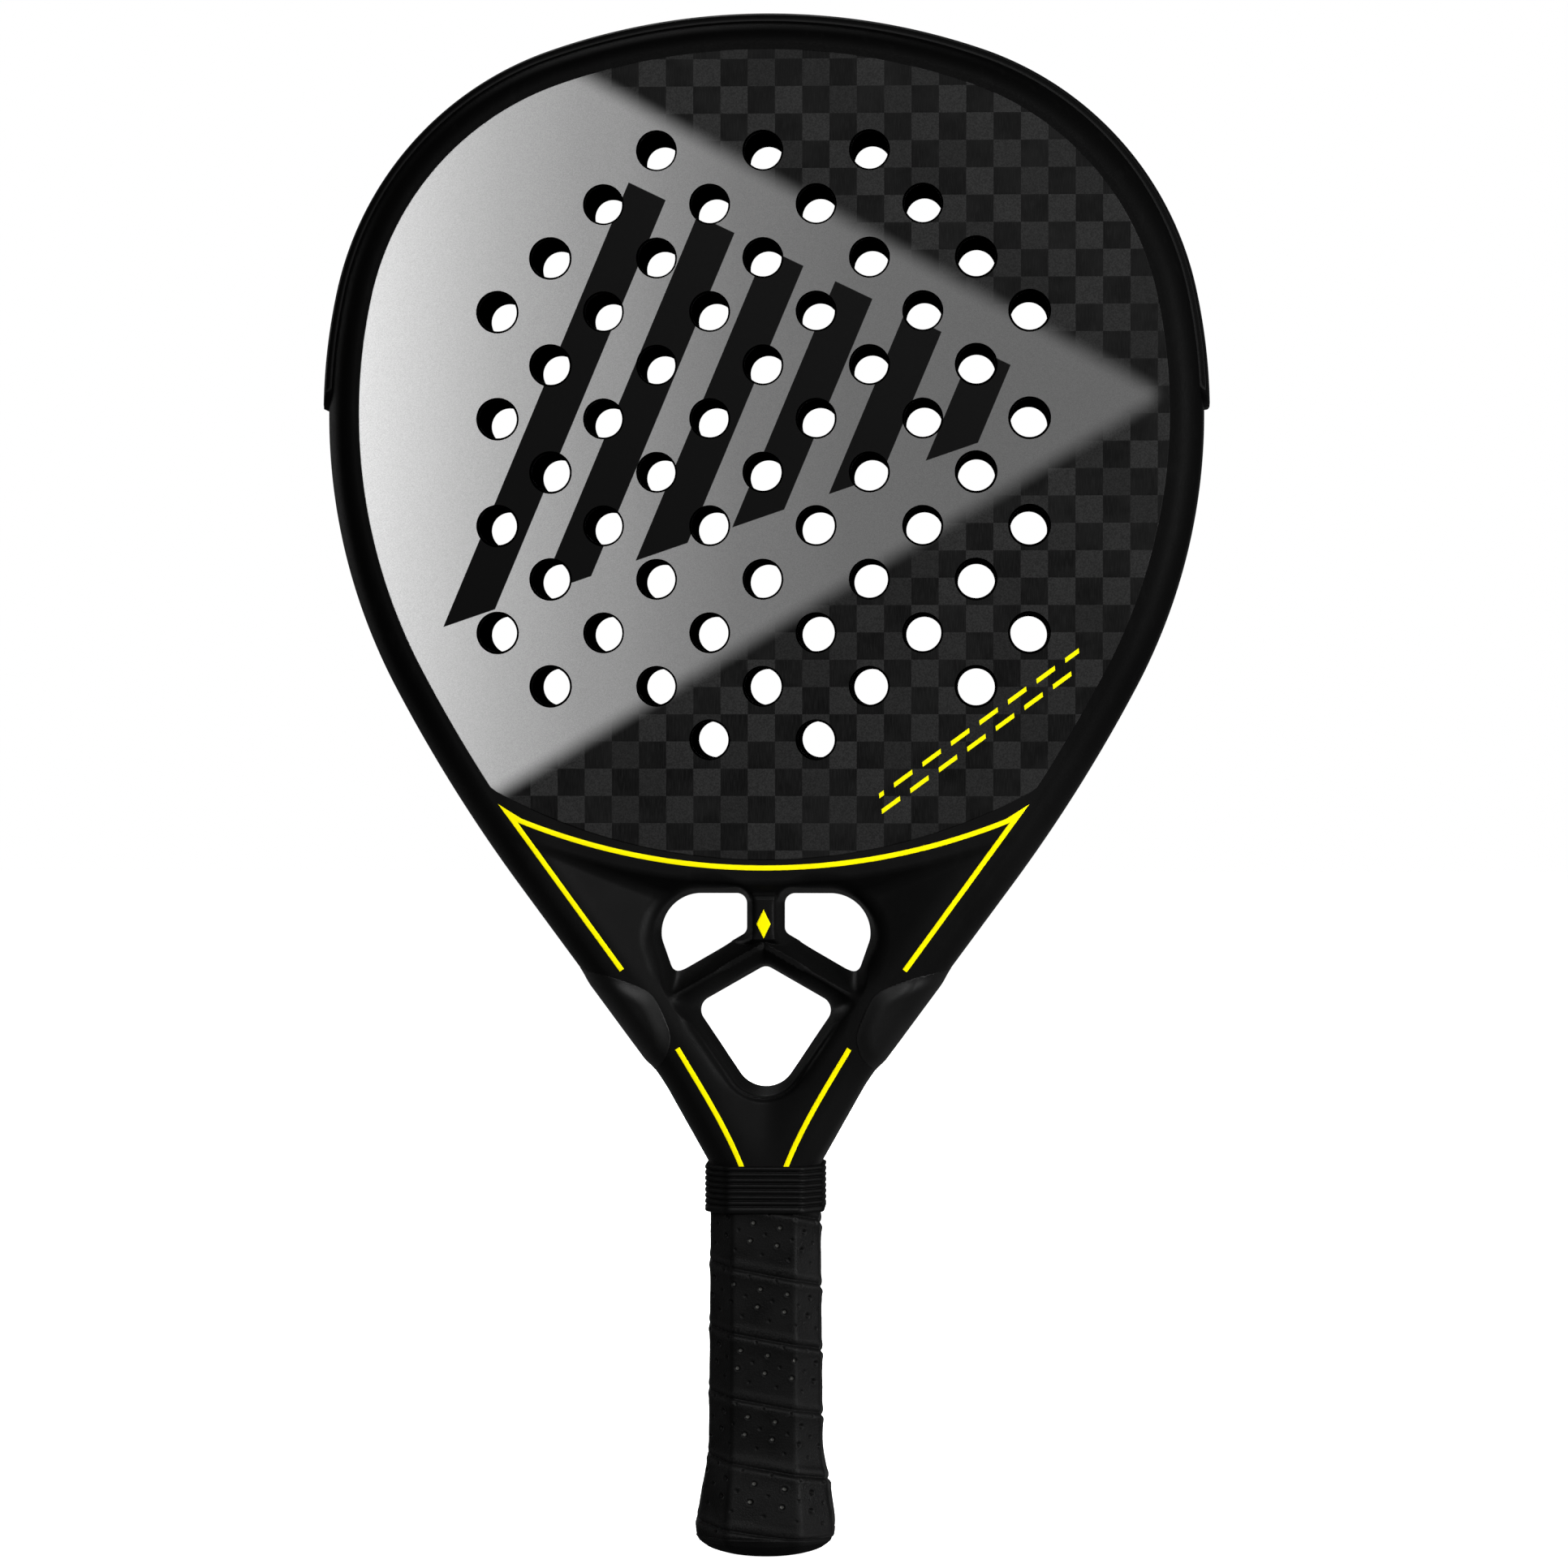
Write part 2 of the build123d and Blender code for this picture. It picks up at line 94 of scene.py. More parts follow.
CORD_HOLE = ((3.1, 0.0), (2.8, 0.1), (2.6, 0.4), (2.6, 4.0), (2.4, 4.4), (0.02, 4.4))  # radius, height
CORD_HOLE_X = 6.0
DOME = 2.5


# ---- shape functions, on numpy arrays

def head_arcs():
    """Centre, radius, start and end angle of each arc of the right half; angles turn from up to right."""
    x, z, turned = 0.0, TIP_Z, 0.0
    arcs = []
    for radius, sweep in HEAD_ARCS:
        after = turned + math.radians(sweep)
        centre = (x - radius * math.sin(turned), z - radius * math.cos(turned))
        arcs.append((centre, radius, turned, after))
        x, z = centre[0] + radius * math.sin(after), centre[1] + radius * math.cos(after)
        turned = after
    return arcs


ARCS = head_arcs()


def smooth_max(a, b, width):
    overlap = np.maximum(width - np.abs(a - b), 0) / width
    return np.maximum(a, b) + overlap * overlap * width / 4


def smooth_min(a, b, width):
    return -smooth_max(-a, -b, width)


def smooth_step(low, high, value):
    t = np.clip((value - low) / (high - low), 0, 1)
    return t * t * (3 - 2 * t)


def unit(vector):
    return vector / np.linalg.norm(vector)


def line_distance(x, z, start, end):
    """Signed distance to a line; positive on the left when looking from start to end."""
    run = np.subtract(end, start) / math.dist(start, end)
    return (z - start[1]) * run[0] - (x - start[0]) * run[1]


def outline_distance(x, z):
    """Signed distance to the front outline, negative inside."""
    x = np.abs(x)
    (cx, cz), radius, _, _ = ARCS[0]
    found = np.hypot(x - cx, z - cz) - radius
    for (cx, cz), radius, start, _ in ARCS[1:]:
        px, pz = cx + radius * math.sin(start), cz + radius * math.cos(start)
        beyond = (x - px) * math.cos(start) - (z - pz) * math.sin(start) > 0
        found = np.where(beyond, np.hypot(x - cx, z - cz) - radius, found)
    (cx, cz), radius, _, end = ARCS[-1]
    arm = (cx + radius * math.sin(end), cz + radius * math.cos(end))
    upper = line_distance(x, z, arm, ARM_KNEE)
    lower = line_distance(x, z, ARM_KNEE, NECK)
    beyond = (x - arm[0]) * math.cos(end) - (z - arm[1]) * math.sin(end) > 0
    return np.where(beyond, smooth_min(upper, lower, KNEE_BLEND), found)


def half_depth(z):
    return HALF_DEPTH - np.maximum(EASE_Z - z, 0) ** 2 / (2 * EASE_R)


def moulding_field(x, y, z):
    """Below zero inside the filled moulding with its rounded shoulders."""
    q1 = outline_distance(x, z) + SHOULDER_R
    deep = np.minimum(SHOULDER_DEEP, half_depth(z) - 3.0)
    q2 = (np.abs(y) - half_depth(z) + deep) * SHOULDER_R / deep
    return np.minimum(np.maximum(q1, q2), 0) + np.hypot(np.maximum(q1, 0), np.maximum(q2, 0)) - SHOULDER_R


def polygon_distance(x, z, corners):
    """Signed distance to a clockwise convex polygon with its own radius at each corner."""
    count = len(corners)
    points = np.array([c[:2] for c in corners], float)
    middle = points.mean(0)
    sign = -np.sign(line_distance(middle[0], middle[1], points[0], points[1]))
    found = np.max([sign * line_distance(x, z, points[k], points[(k + 1) % count]) for k in range(count)], axis=0)
    for k, (px, pz, radius) in enumerate(corners):
        before, after = unit(points[k - 1] - (px, pz)), unit(points[(k + 1) % count] - (px, pz))
        half = math.acos(np.clip(before @ after, -1, 1)) / 2
        inward = unit(before + after)
        cx, cz = np.array((px, pz)) + inward * radius / math.sin(half)
        in_cone = ((x - cx) * before[0] + (z - cz) * before[1] < 0) & ((x - cx) * after[0] + (z - cz) * after[1] < 0)
        found = np.where(in_cone, np.hypot(x - cx, z - cz) - radius, found)
    return found


def web_height(x, z):
    """Half depth of the front surface between the arms."""
    wide = np.abs(x)
    land = np.interp(z, [114.0, 150.0, 166.0, 172.0], [9.6, 10.9, 11.4, 11.4])
    a = np.maximum(-outline_distance(np.hypot(x, 4.5), z) - land, 0)
    side = 0.36 * (np.hypot(a, 2.2) - 2.2)
    below = smooth_max(np.hypot(x, SHELF_ARC[0] - z) - SHELF_ARC[1], 0, 0.7) * (z < 300)
    drop = smooth_min(smooth_min(side, 1.15 * below, 3.2), 6.5, 2.0)
    drop = drop + 0.7 * smooth_step(160, 150, z) * groove(polygon_distance(x, z, LOWER_OPENING) - 3.0, 0.55)
    base = half_depth(z) - drop
    between = polygon_distance(wide, z, UPPER_OPENING) + polygon_distance(x, z, LOWER_OPENING)
    off_axis = wide * 0.5 + (z - STRUT_Z) * math.cos(math.radians(30))
    slope = STRUT_SLOPE[1] + (STRUT_SLOPE[0] - STRUT_SLOPE[1]) * (off_axis > 0)
    roof = STRUT_TOP - slope * (np.hypot(np.maximum(np.abs(off_axis) - 0.35, 0), 0.5) - 0.5)
    in_strut = 1 - smooth_step(11.8, 18.5, between)
    surface = base * (1 - in_strut) + np.minimum(base + 3, roof) * in_strut
    beside = np.hypot(np.maximum(wide - 3.2, 0), np.maximum(STRUT_Z + 1.5 - z, 0))
    upright = STRUT_TOP + 0.1 - 1.9 * beside - 50 * np.maximum(z - 197, 0)
    step = 0.25 * groove(z - 194.2, 0.4) * (wide < 8)
    return smooth_max(surface, upright, 0.5) - step


def groove(offset, width):
    return np.exp(-(offset / width) ** 2)


def frame_field(x, y, z):
    """Below zero inside the arms, throat and lower rim, with the openings and the core's space cut out."""
    deep = np.abs(y)
    field = smooth_max(moulding_field(x, y, z), (deep - web_height(x, z)) * 0.9, 0.8)
    for corners in (UPPER_OPENING, LOWER_OPENING):
        across = np.abs(x) if corners is UPPER_OPENING else x
        cut = polygon_distance(across, z, corners) - OPENING_DRAFT * deep
        field = smooth_max(field, -cut, 1.6 + 2.4 * smooth_step(6, 14, np.abs(x)))
    inset = -outline_distance(x, z)
    radius, low = FACE_FOOT
    core = np.minimum(inset - 13.0, radius - 2.5 - np.hypot(x, z - low - radius))
    return np.maximum(np.maximum(field, core), np.maximum(z - 229.5, 111.5 - z))


def sleeve_field(x, y, z):
    """Below zero inside the thin rubber sleeve round the right arm."""
    body = frame_field(x, y, z)
    edge = None
    for start, end in zip(SLEEVE_EDGE, SLEEVE_EDGE[1:]):
        d = -line_distance(x, z, start, end)
        edge = d if edge is None else smooth_max(edge, d, 1.5)
    puff = 0.12 * np.exp(-((edge + 3.0) / 2.4) ** 2) * smooth_step(6, 12, np.abs(y)) * smooth_step(173, 166, z)
    thick = 0.62 * smooth_step(0.0, 5.0, -edge) + 0.08
    return np.maximum(smooth_max(body - thick - puff, edge, 0.3), -(body + 1.2))


def gradient(field, points):
    """Slope of a field at points of shape (n, 3)."""
    reach = 0.03
    slope = np.empty_like(points)
    for axis in range(3):
        ahead, behind = points.copy(), points.copy()
        ahead[:, axis] += reach
        behind[:, axis] -= reach
        slope[:, axis] = (field(*ahead.T) - field(*behind.T)) / (2 * reach)
    return slope


def surface_net(field, low, high, step):
    """Mesh of a field's zero surface: points, quads and normals."""
    axes = [np.arange(a, b + step, step) for a, b in zip(low, high)]
    value = field(axes[0][:, None, None], axes[1][None, :, None], axes[2][None, None, :])
    shape = np.array(value.shape) - 1
    rings, crossings = [], []
    for axis in range(3):
        first = np.take(value, range(shape[axis]), axis)
        last = np.take(value, range(1, shape[axis] + 1), axis)
        start = np.argwhere((first < 0) != (last < 0))
        a, b = first[tuple(start.T)], last[tuple(start.T)]
        point = start.astype(float)
        point[:, axis] += a / (a - b)
        u, w = (axis + 1) % 3, (axis + 2) % 3
        ring = np.repeat(start[:, None, :], 4, axis=1)
        ring[:, (1, 2), u] -= 1
        ring[:, (2, 3), w] -= 1
        ring[a > 0] = ring[a > 0][:, ::-1]
        whole = ((ring >= 0) & (ring < shape)).all((1, 2))
        rings.append(ring[whole])
        crossings.append(np.repeat(point[whole][:, None, :], 4, axis=1))
    ring = np.concatenate(rings)
    cells = np.ravel_multi_index(ring.reshape(-1, 3).T, shape)
    crossing = np.concatenate(crossings).reshape(-1, 3)
    _, index = np.unique(cells, return_inverse=True)
    index = index.ravel()
    size = np.bincount(index)
    points = np.stack([np.bincount(index, crossing[:, k]) / size for k in range(3)], axis=1)
    points = points * step + np.array([a[0] for a in axes])
    for _ in range(4):
        slope = gradient(field, points)
        steepness = np.maximum((slope ** 2).sum(1), 0.2)
        move = slope * (field(*points.T) / steepness)[:, None]
        length = np.linalg.norm(move, axis=1, keepdims=True)
        points -= move * np.minimum(1, 0.4 * step / np.maximum(length, 1e-9))
    slope = gradient(field, points)
    slope /= np.maximum(np.linalg.norm(slope, axis=1, keepdims=True), 1e-9)
    return points, index.reshape(-1, 4), slope


# ---- meshes

def add_object(name, data):
    """Puts a new object into the scene."""
    thing = bpy.data.objects.new(name, data)
    bpy.context.scene.collection.objects.link(thing)
    return thing


def add_piece(name, points, faces, look, replaces=(), normals=None, uv=None):
    """A smooth mesh riding on the racket's body. Points in mm, faces and normals are lists of arrays."""
    mesh = bpy.data.meshes.new(name)
    mesh.from_pydata((np.concatenate(points) * MM).tolist(), [], [face for part in faces for face in part.tolist()])
    mesh.validate()
    mesh.shade_smooth()
    if uv is not None:
        layer = mesh.uv_layers.new(name="tape")
        layer.data.foreach_set("uv", uv.astype(np.float32).ravel())
    if normals is not None:
        mesh.normals_split_custom_set_from_vertices(np.concatenate(normals).tolist())
    mesh.materials.append(look.material)
    piece = add_object(name, mesh)
    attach(piece, "root")
    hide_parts(*replaces)
    return piece


def grid_quads(rows, columns, closed=False, offset=0):
    """Quads of a rows by columns grid of points; closed joins each row's ends."""
    r = np.arange(rows - 1)[:, None]
    c = np.arange(columns if closed else columns - 1)[None, :]
    c1 = (c + 1) % columns
    quads = np.stack([r * columns + c, (r + 1) * columns + c, (r + 1) * columns + c1, r * columns + c1], axis=-1)
    return quads.reshape(-1, 4) + offset


def unit_circle(count):
    turn = np.arange(count) * 2 * math.pi / count
    return np.stack([np.cos(turn), np.sin(turn)], axis=1)


def stood_up(flat, y):
    """Points (x, z) as (x, y, z)."""
    return np.stack([flat[:, 0], np.full(len(flat), y), flat[:, 1]], axis=1)


def run_along(points):
    """Length of the line through points, as far as each of them."""
    return np.concatenate([[0], np.cumsum(np.hypot(*np.diff(points, axis=0).T))])


def fill_between(loops, holes):
    """Flat points and triangles between closed loops, without the triangles inside holes of (centre, radius)."""
    edges, first = [], 0
    for loop in loops:
        edges += [(first + k, first + (k + 1) % len(loop)) for k in range(len(loop))]
        first += len(loop)
    verts, _, triangles, _, _, _ = delaunay_2d_cdt([Vector(p) for p in np.concatenate(loops)], edges, [], 1, 1e-6)
    verts = np.array([tuple(v) for v in verts])
    triangles = np.array([list(t) for t in triangles])
    middles = verts[triangles].mean(1)
    for centre, radius in holes:
        outside = np.hypot(*(middles - centre).T) > radius
        triangles, middles = triangles[outside], middles[outside]
    return verts, triangles


def stations(first_z, step):
    """Points and outward directions along the outline, from its low left, over the tip, to its low right."""
    right = []
    for (cx, cz), radius, start, end in ARCS:
        count = max(2, round((end - start) * radius / step))
        for k in range(count):
            t = start + (end - start) * k / count
            right.append((cx + radius * math.sin(t), cz + radius * math.cos(t), math.sin(t), math.cos(t)))
    right = [p for p in right if p[1] > first_z]
    (cx, cz), radius, _, _ = [a for a in ARCS if a[0][1] + a[1] * math.cos(a[3]) < first_z][0]
    t = math.acos((first_z - cz) / radius)
    right.append((cx + radius * math.sin(t), first_z, math.sin(t), math.cos(t)))
    left = [(-x, z, -nx, nz) for x, z, nx, nz in right[:0:-1]]
    return np.array(left + right)


def sweep(path, outward, depth):
    """Grid of points: at each path station, a section of (distance outward, depth y)."""
    x = path[:, 0, None] + path[:, 2, None] * outward
    z = path[:, 1, None] + path[:, 3, None] * outward
    y = np.broadcast_to(depth, x.shape)
    return np.stack([x, y, z], axis=-1)


def make_frame_shell(look):
    """Rim, arms and throat: a swept rim round the head, and a net over the arms and throat."""
    points, quads, normals = surface_net(frame_field, (-93, -20.2, 110.7), (93.1, 20.3, 230.3), 0.6)
    path = stations(218.0, 2.0)
    half = [(o, -HALF_DEPTH, 0, -1) for o in (-13.0, -11.5, -10.2)]
    for a in np.linspace(0, math.pi / 2, 19):
        nx, ny = math.sin(a) / SHOULDER_R, math.cos(a) / SHOULDER_DEEP
        half.append((SHOULDER_R * (math.sin(a) - 1), -(HALF_DEPTH - SHOULDER_DEEP + SHOULDER_DEEP * math.cos(a)),
                     nx / math.hypot(nx, ny), -ny / math.hypot(nx, ny)))
    section = np.array(half + [(o, -y, n, -ny) for o, y, n, ny in half[::-1]])
    sunk = 0.06 * smooth_step(229.0, 224.0, path[:, 1])[:, None]
    outward = section[None, :, 0] - sunk * section[None, :, 2]
    depth = section[None, :, 1] - sunk * section[None, :, 3]
    rim = sweep(path, outward, depth).reshape(-1, 3)
    rim_normals = np.stack([path[:, 2, None] * section[:, 2], np.broadcast_to(section[:, 3], (len(path), len(section))),
                            path[:, 3, None] * section[:, 2]], axis=-1).reshape(-1, 3)
    rim_quads = grid_quads(len(path), len(section), offset=len(points))
    add_piece("frame_shell", [points, rim], [quads, rim_quads], look,
              ("rim_tube", "throat_bridge", "bridge_foam"), [normals, rim_normals])


def make_bumper(look):
    """Guard strip round the top of the head, with rounded edges and ends."""
    path = stations(BUMPER_FOOT_Z, 1.2)
    run = run_along(path[:, :2])
    from_end = np.minimum(run, run[-1] - run)
    rounding = np.maximum(BUMPER_END_R ** 2 - np.maximum(BUMPER_END_R - from_end, 0) ** 2, 0)
    reach = BUMPER_REACH - BUMPER_END_R + np.sqrt(rounding)
    share = np.concatenate([[0, 0.012, 0.03, 0.06, 0.1], np.linspace(0.15, 0.85, 29), [0.9, 0.94, 0.97, 0.988, 1]])
    v = (2 * share[None, :] - 1) * reach[:, None]
    edge = np.minimum(reach[:, None] - np.abs(v), from_end[:, None] + 0 * v)
    rise = np.sqrt(np.maximum(1 - (1 - np.minimum(edge / 0.5, 1)) ** 2, 0))
    height = -0.1 + 1.75 * rise
    height -= 0.18 * groove(np.abs(v) - reach[:, None] + 2.4, 0.5) * smooth_step(2, 4, from_end)[:, None]
    flat = HALF_DEPTH - SHOULDER_DEEP
    turn = np.maximum(np.abs(v) - flat, 0) / SHOULDER_DEEP
    nx, ny = np.cos(turn) / SHOULDER_R, np.sin(turn) / SHOULDER_DEEP
    nx, ny = nx / np.hypot(nx, ny), ny / np.hypot(nx, ny)
    outward = SHOULDER_R * (np.cos(turn) - 1) + height * nx
    depth = np.sign(v) * (np.minimum(np.abs(v), flat) + SHOULDER_DEEP * np.sin(turn) + height * ny)
    grid = sweep(path, outward, depth)
    quads = grid_quads(*grid.shape[:2])[:, ::-1]
    add_piece("bumper_guard", [grid.reshape(-1, 3)], [quads], look, ("bumper", "bumper_tape"))


def drilled_holes():
    """Centre, radius and rounding of each hole; the outermost ones are a little larger."""
    for row, count in enumerate(HOLES_IN_ROW):
        for index in range(count):
            x = (index - (count - 1) / 2) * HOLE_PITCH[0]
            radius, lip = (5.6, 0.6) if abs(x) > 55 else (5.45, 0.5)
            yield (x, HOLE_TOP_Z - row * HOLE_PITCH[1]), radius, lip


def face_boundary(inset):
    """Points round the playing face, and their outward directions."""
    radius, low = FACE_FOOT
    path = stations(200.0, 2.5)
    right = path[path[:, 0] >= 0]
    points = right[:, :2] - right[:, 2:] * inset
    keep = (np.hypot(points[:, 0], points[:, 1] - low - radius) < radius) | (points[:, 1] > 367)
    points, outward = points[keep], right[keep, 2:]
    end = math.atan2(points[-1, 0], low + radius - points[-1, 1])
    angles = np.linspace(end, 0, 40)[1:]
    arc_out = np.stack([np.sin(angles), -np.cos(angles)], axis=1)
    points = np.concatenate([points, arc_out * radius + (0, low + radius)])
    outward = np.concatenate([outward, arc_out])
    flip = (-1, 1)
    return np.concatenate([points, points[-2:0:-1] * flip]), np.concatenate([outward, outward[-2:0:-1] * flip])


def make_face(word, side, look):
    """Printed laminate sheet with its drilled holes and a rounded border; side is -1 for the front."""
    bevel = 0.25
    border, outward = face_boundary(FACE_INSET + bevel)
    circle = unit_circle(48)
    holes = [(np.array(centre), r + lip) for centre, r, lip in drilled_holes()]
    verts, triangles = fill_between([border] + [centre + circle * r for centre, r in holes], holes)
    points = [stood_up(verts, side * FACE_LEVEL)]
    normals = [np.tile((0.0, side, 0.0), (len(verts), 1))]
    for a in (0.0, math.pi / 4, math.pi / 2):
        points.append(stood_up(border + outward * bevel * math.sin(a), side * (FACE_LEVEL - 0.12 * (1 - math.cos(a)))))
        normals.append(stood_up(outward * math.sin(a), side * math.cos(a)))
    skirt = grid_quads(3, len(border), closed=True, offset=len(verts))
    add_piece("face_" + word, points, [triangles[:, ::-side], skirt[:, ::side]], look,
              (word + "_face",), normals)


def make_hole_walls(look):
    """Rounded rim and wall of every drilled hole, from face to face."""
    circle = unit_circle(48)
    points, normals, faces = [], [], []
    for centre, r, lip in drilled_holes():
        rows = [(r + lip * (1 - math.sin(a)), FACE_LEVEL - lip * (1 - math.cos(a)), -math.sin(a), math.cos(a))
                for a in np.linspace(0, math.pi / 2, 6)]
        rows += [(r, FACE_LEVEL - lip - 0.35, -1, 0), (r - 0.12, FACE_LEVEL - lip - 0.75, -1, 0), (r - 0.12, 0, -1, 0)]
        rows += [(q, -y, n, -ny) for q, y, n, ny in rows[-2::-1]]
        faces.append(grid_quads(len(rows), len(circle), closed=True, offset=len(points) * len(circle)))
        points += [stood_up(centre + q * circle, -y) for q, y, _, _ in rows]
        normals += [stood_up(n * circle, -ny) for _, _, n, ny in rows]
    add_piece("hole_walls", points, faces, look, ("eva_core",), normals)


def make_sleeves(look):
    """Rubber sleeves round both arms."""
    points, quads, normals = surface_net(sleeve_field, (24.6, -20.4, 137.2), (63.0, 20.5, 178.0), 0.5)
    for hand, sign in (("right", 1), ("left", -1)):
        mirror = (sign, 1, 1)
        add_piece("arm_sleeve_" + hand, [points * mirror], [quads[:, ::sign]], look,
                  (hand + "_arm_sleeve",), [normals * mirror])


def surface_depth(x, z):
    """Half depth of the frame's outside, by halving."""
    near, far = np.full(x.shape, 6.0), np.full(x.shape, 21.0)
    for _ in range(26):
        middle = (near + far) / 2
        outside = frame_field(x, middle, z) > 0
        far, near = np.where(outside, middle, far), np.where(outside, near, middle)
    return (near + far) / 2


def strip_points(path, width, side):
    """Grid over the frame's surface along a path of (x, z, across x, across z), with rounded edges."""
    share = np.array([-1, -0.97, -0.8, -0.4, 0, 0.4, 0.8, 0.97, 1])
    level = LINE_RISE * np.array([-0.6, 0.55, 1, 1.1, 1.15, 1.1, 1, 0.55, -0.6])
    x = path[:, 0, None] + path[:, 2, None] * share * width / 2
    z = path[:, 1, None] + path[:, 3, None] * share * width / 2
    return np.stack([x, side * (surface_depth(x, z) + level), z], axis=-1)


def line_path(points, step=1.0):
    """Even stations along a smooth line through points, with unit directions across it."""
    points = np.array(points, float)
    run = run_along(points)
    order = min(3, len(points) - 1)
    at = np.linspace(0, run[-1], max(2, round(run[-1] / step)))
    x, z = (np.polyval(np.polyfit(run, points[:, k], order), at) for k in (0, 1))
    dx, dz = np.gradient(x), np.gradient(z)
    length = np.hypot(dx, dz)
    return np.stack([x, z, -dz / length, dx / length], axis=1)


def border_path():
    """The trim's upper line: up the left leg, along the arc over the throat, and down the right leg."""
    tip, leg_end = np.array(LINE_TIP), np.array(LINE_END)
    centre, radius = LINE_ARC
    tip_angle = math.asin(tip[0] / math.hypot(tip[0], centre - tip[1]))
    angles = np.linspace(tip_angle - 0.022, 0, 60)
    out = np.stack([np.sin(angles), -np.cos(angles)], axis=1)
    arc = np.concatenate([out * radius + (0, centre), out], axis=1)
    leg_run = unit(tip - leg_end)
    leg = leg_end + (tip - leg_run * 4.0 - leg_end) * np.linspace(0, 1, 50)[:, None]
    leg = np.concatenate([leg, np.tile((leg_run[1], -leg_run[0]), (len(leg), 1))], axis=1)
    arc_run = unit(tip - arc[0, :2])
    bisector = unit(leg_run + arc_run)
    half = math.acos(np.clip(leg_run @ arc_run, -1, 1)) / 2
    mitre = np.concatenate([tip, bisector / math.sin(half)])[None, :]
    arc[:, 2:] *= np.sign(arc[0, 2:] @ bisector)
    right = np.concatenate([leg, mitre, arc])
    return np.concatenate([right, right[-2::-1] * (-1, 1, -1, 1)])


def make_trim_lines(look):
    """Narrow coloured lines and a lozenge laid on the throat, front and back."""
    lower = line_path(LOWER_LINE)
    along = np.linspace(-1, 1, 15)
    lozenge = np.stack([0 * along, LOZENGE_Z + LOZENGE_HALF * along, np.maximum(1 - np.abs(along), 0.02), 0 * along],
                       axis=1)
    # the lozenge is half as wide as it is high
    strips = ((border_path(), LINE_WIDTH), (lower, LINE_WIDTH), (lower * (-1, 1, -1, 1), LINE_WIDTH),
              (lozenge, LOZENGE_HALF))
    points, faces, first = [], [], 0
    for side in (-1, 1):
        for path, width in strips:
            grid = strip_points(path, width, side)
            quads = grid_quads(*grid.shape[:2], offset=first)
            ahead = np.cross(grid[3, 4] - grid[2, 4], grid[2, 5] - grid[2, 4])[1]
            points.append(grid.reshape(-1, 3))
            faces.append(quads if ahead * side < 0 else quads[:, ::-1])
            first += len(points[-1])
    add_piece("trim_lines", points, faces, look)


# ---- handle

def octagon_ring(grow, corner_r, count, size=PALLET):
    """Points, directions, share of the way round and length of a rounded octagon, from the middle of its back."""
    half_x, half_y, cut = size
    x, y, c = half_x + grow, half_y + grow, cut + grow * (2 - math.sqrt(2))
    corners = np.array([(c - x, y), (-x, y - c), (-x, c - y), (c - x, -y), (x - c, -y), (x, c - y), (x, y - c),
                        (x - c, y)])
    pull = corner_r * math.tan(math.pi / 8)
    points, directions = [(0.0, y)], [(0.0, 1.0)]
    for k, corner in enumerate(corners):
        before = unit(corners[k - 1] - corner)
        out = np.array((-before[1], before[0]))
        centre = corner + before * pull - out * corner_r
        start = math.atan2(out[1], out[0])
        for a in np.linspace(0, math.pi / 4, 9):
            d = np.array((math.cos(start + a), math.sin(start + a)))
            points.append(centre + d * corner_r)
            directions.append(d)
    points, directions = np.array(points + points[:1]), np.array(directions + directions[:1])
    run = run_along(points)
    at = np.linspace(0, 1, count + 1)
    ring, way = (np.stack([np.interp(at, run / run[-1], values[:, k]) for k in (0, 1)], axis=1)
                 for values in (points, directions))
    return ring, way / np.linalg.norm(way, axis=1, keepdims=True), at, run[-1]


GRIP_RUN = octagon_ring(1.8, 2.2, 8)[3]
TAPE_SLANT = math.atan(SEAM_PITCH / GRIP_RUN)


def tape_coordinates(around, z):
    """Place on the wound tape: along it, and up across it from the seam below.

    around is in mm from the middle of the front."""
    drop = SEAM_Z - around * math.tan(TAPE_SLANT) - z
    turn = np.ceil(drop / SEAM_PITCH)
    above_seam = turn * SEAM_PITCH - drop
    total = around + turn * (GRIP_RUN + TAPE_CREEP)
    along = total * math.cos(TAPE_SLANT) - z * math.sin(TAPE_SLANT)
    along = along + TAPE_WANDER * np.sin(2 * math.pi * around / GRIP_RUN)
    return along, above_seam * math.cos(TAPE_SLANT)


def lattice_distance(along, across, rows, phase):
    """Distance to the nearest point of rows of evenly spaced holes."""
    shifted = (along - HOLE_PHASE + phase * TAPE_SPACING + TAPE_SPACING / 2) % TAPE_SPACING - TAPE_SPACING / 2
    nearest = np.min([np.abs(across - row) for row in rows], axis=0)
    return np.hypot(shifted, nearest)


def domed(points):
    """Lifts the points near the butt end towards the outside, so that the end is a low dome."""
    lift = DOME * ((points[:, 0] / 18) ** 2 + (points[:, 1] / 17) ** 2)
    return points + np.outer(lift * np.clip(1 - points[:, 2] / 8, 0, 1), (0, 0, 1))


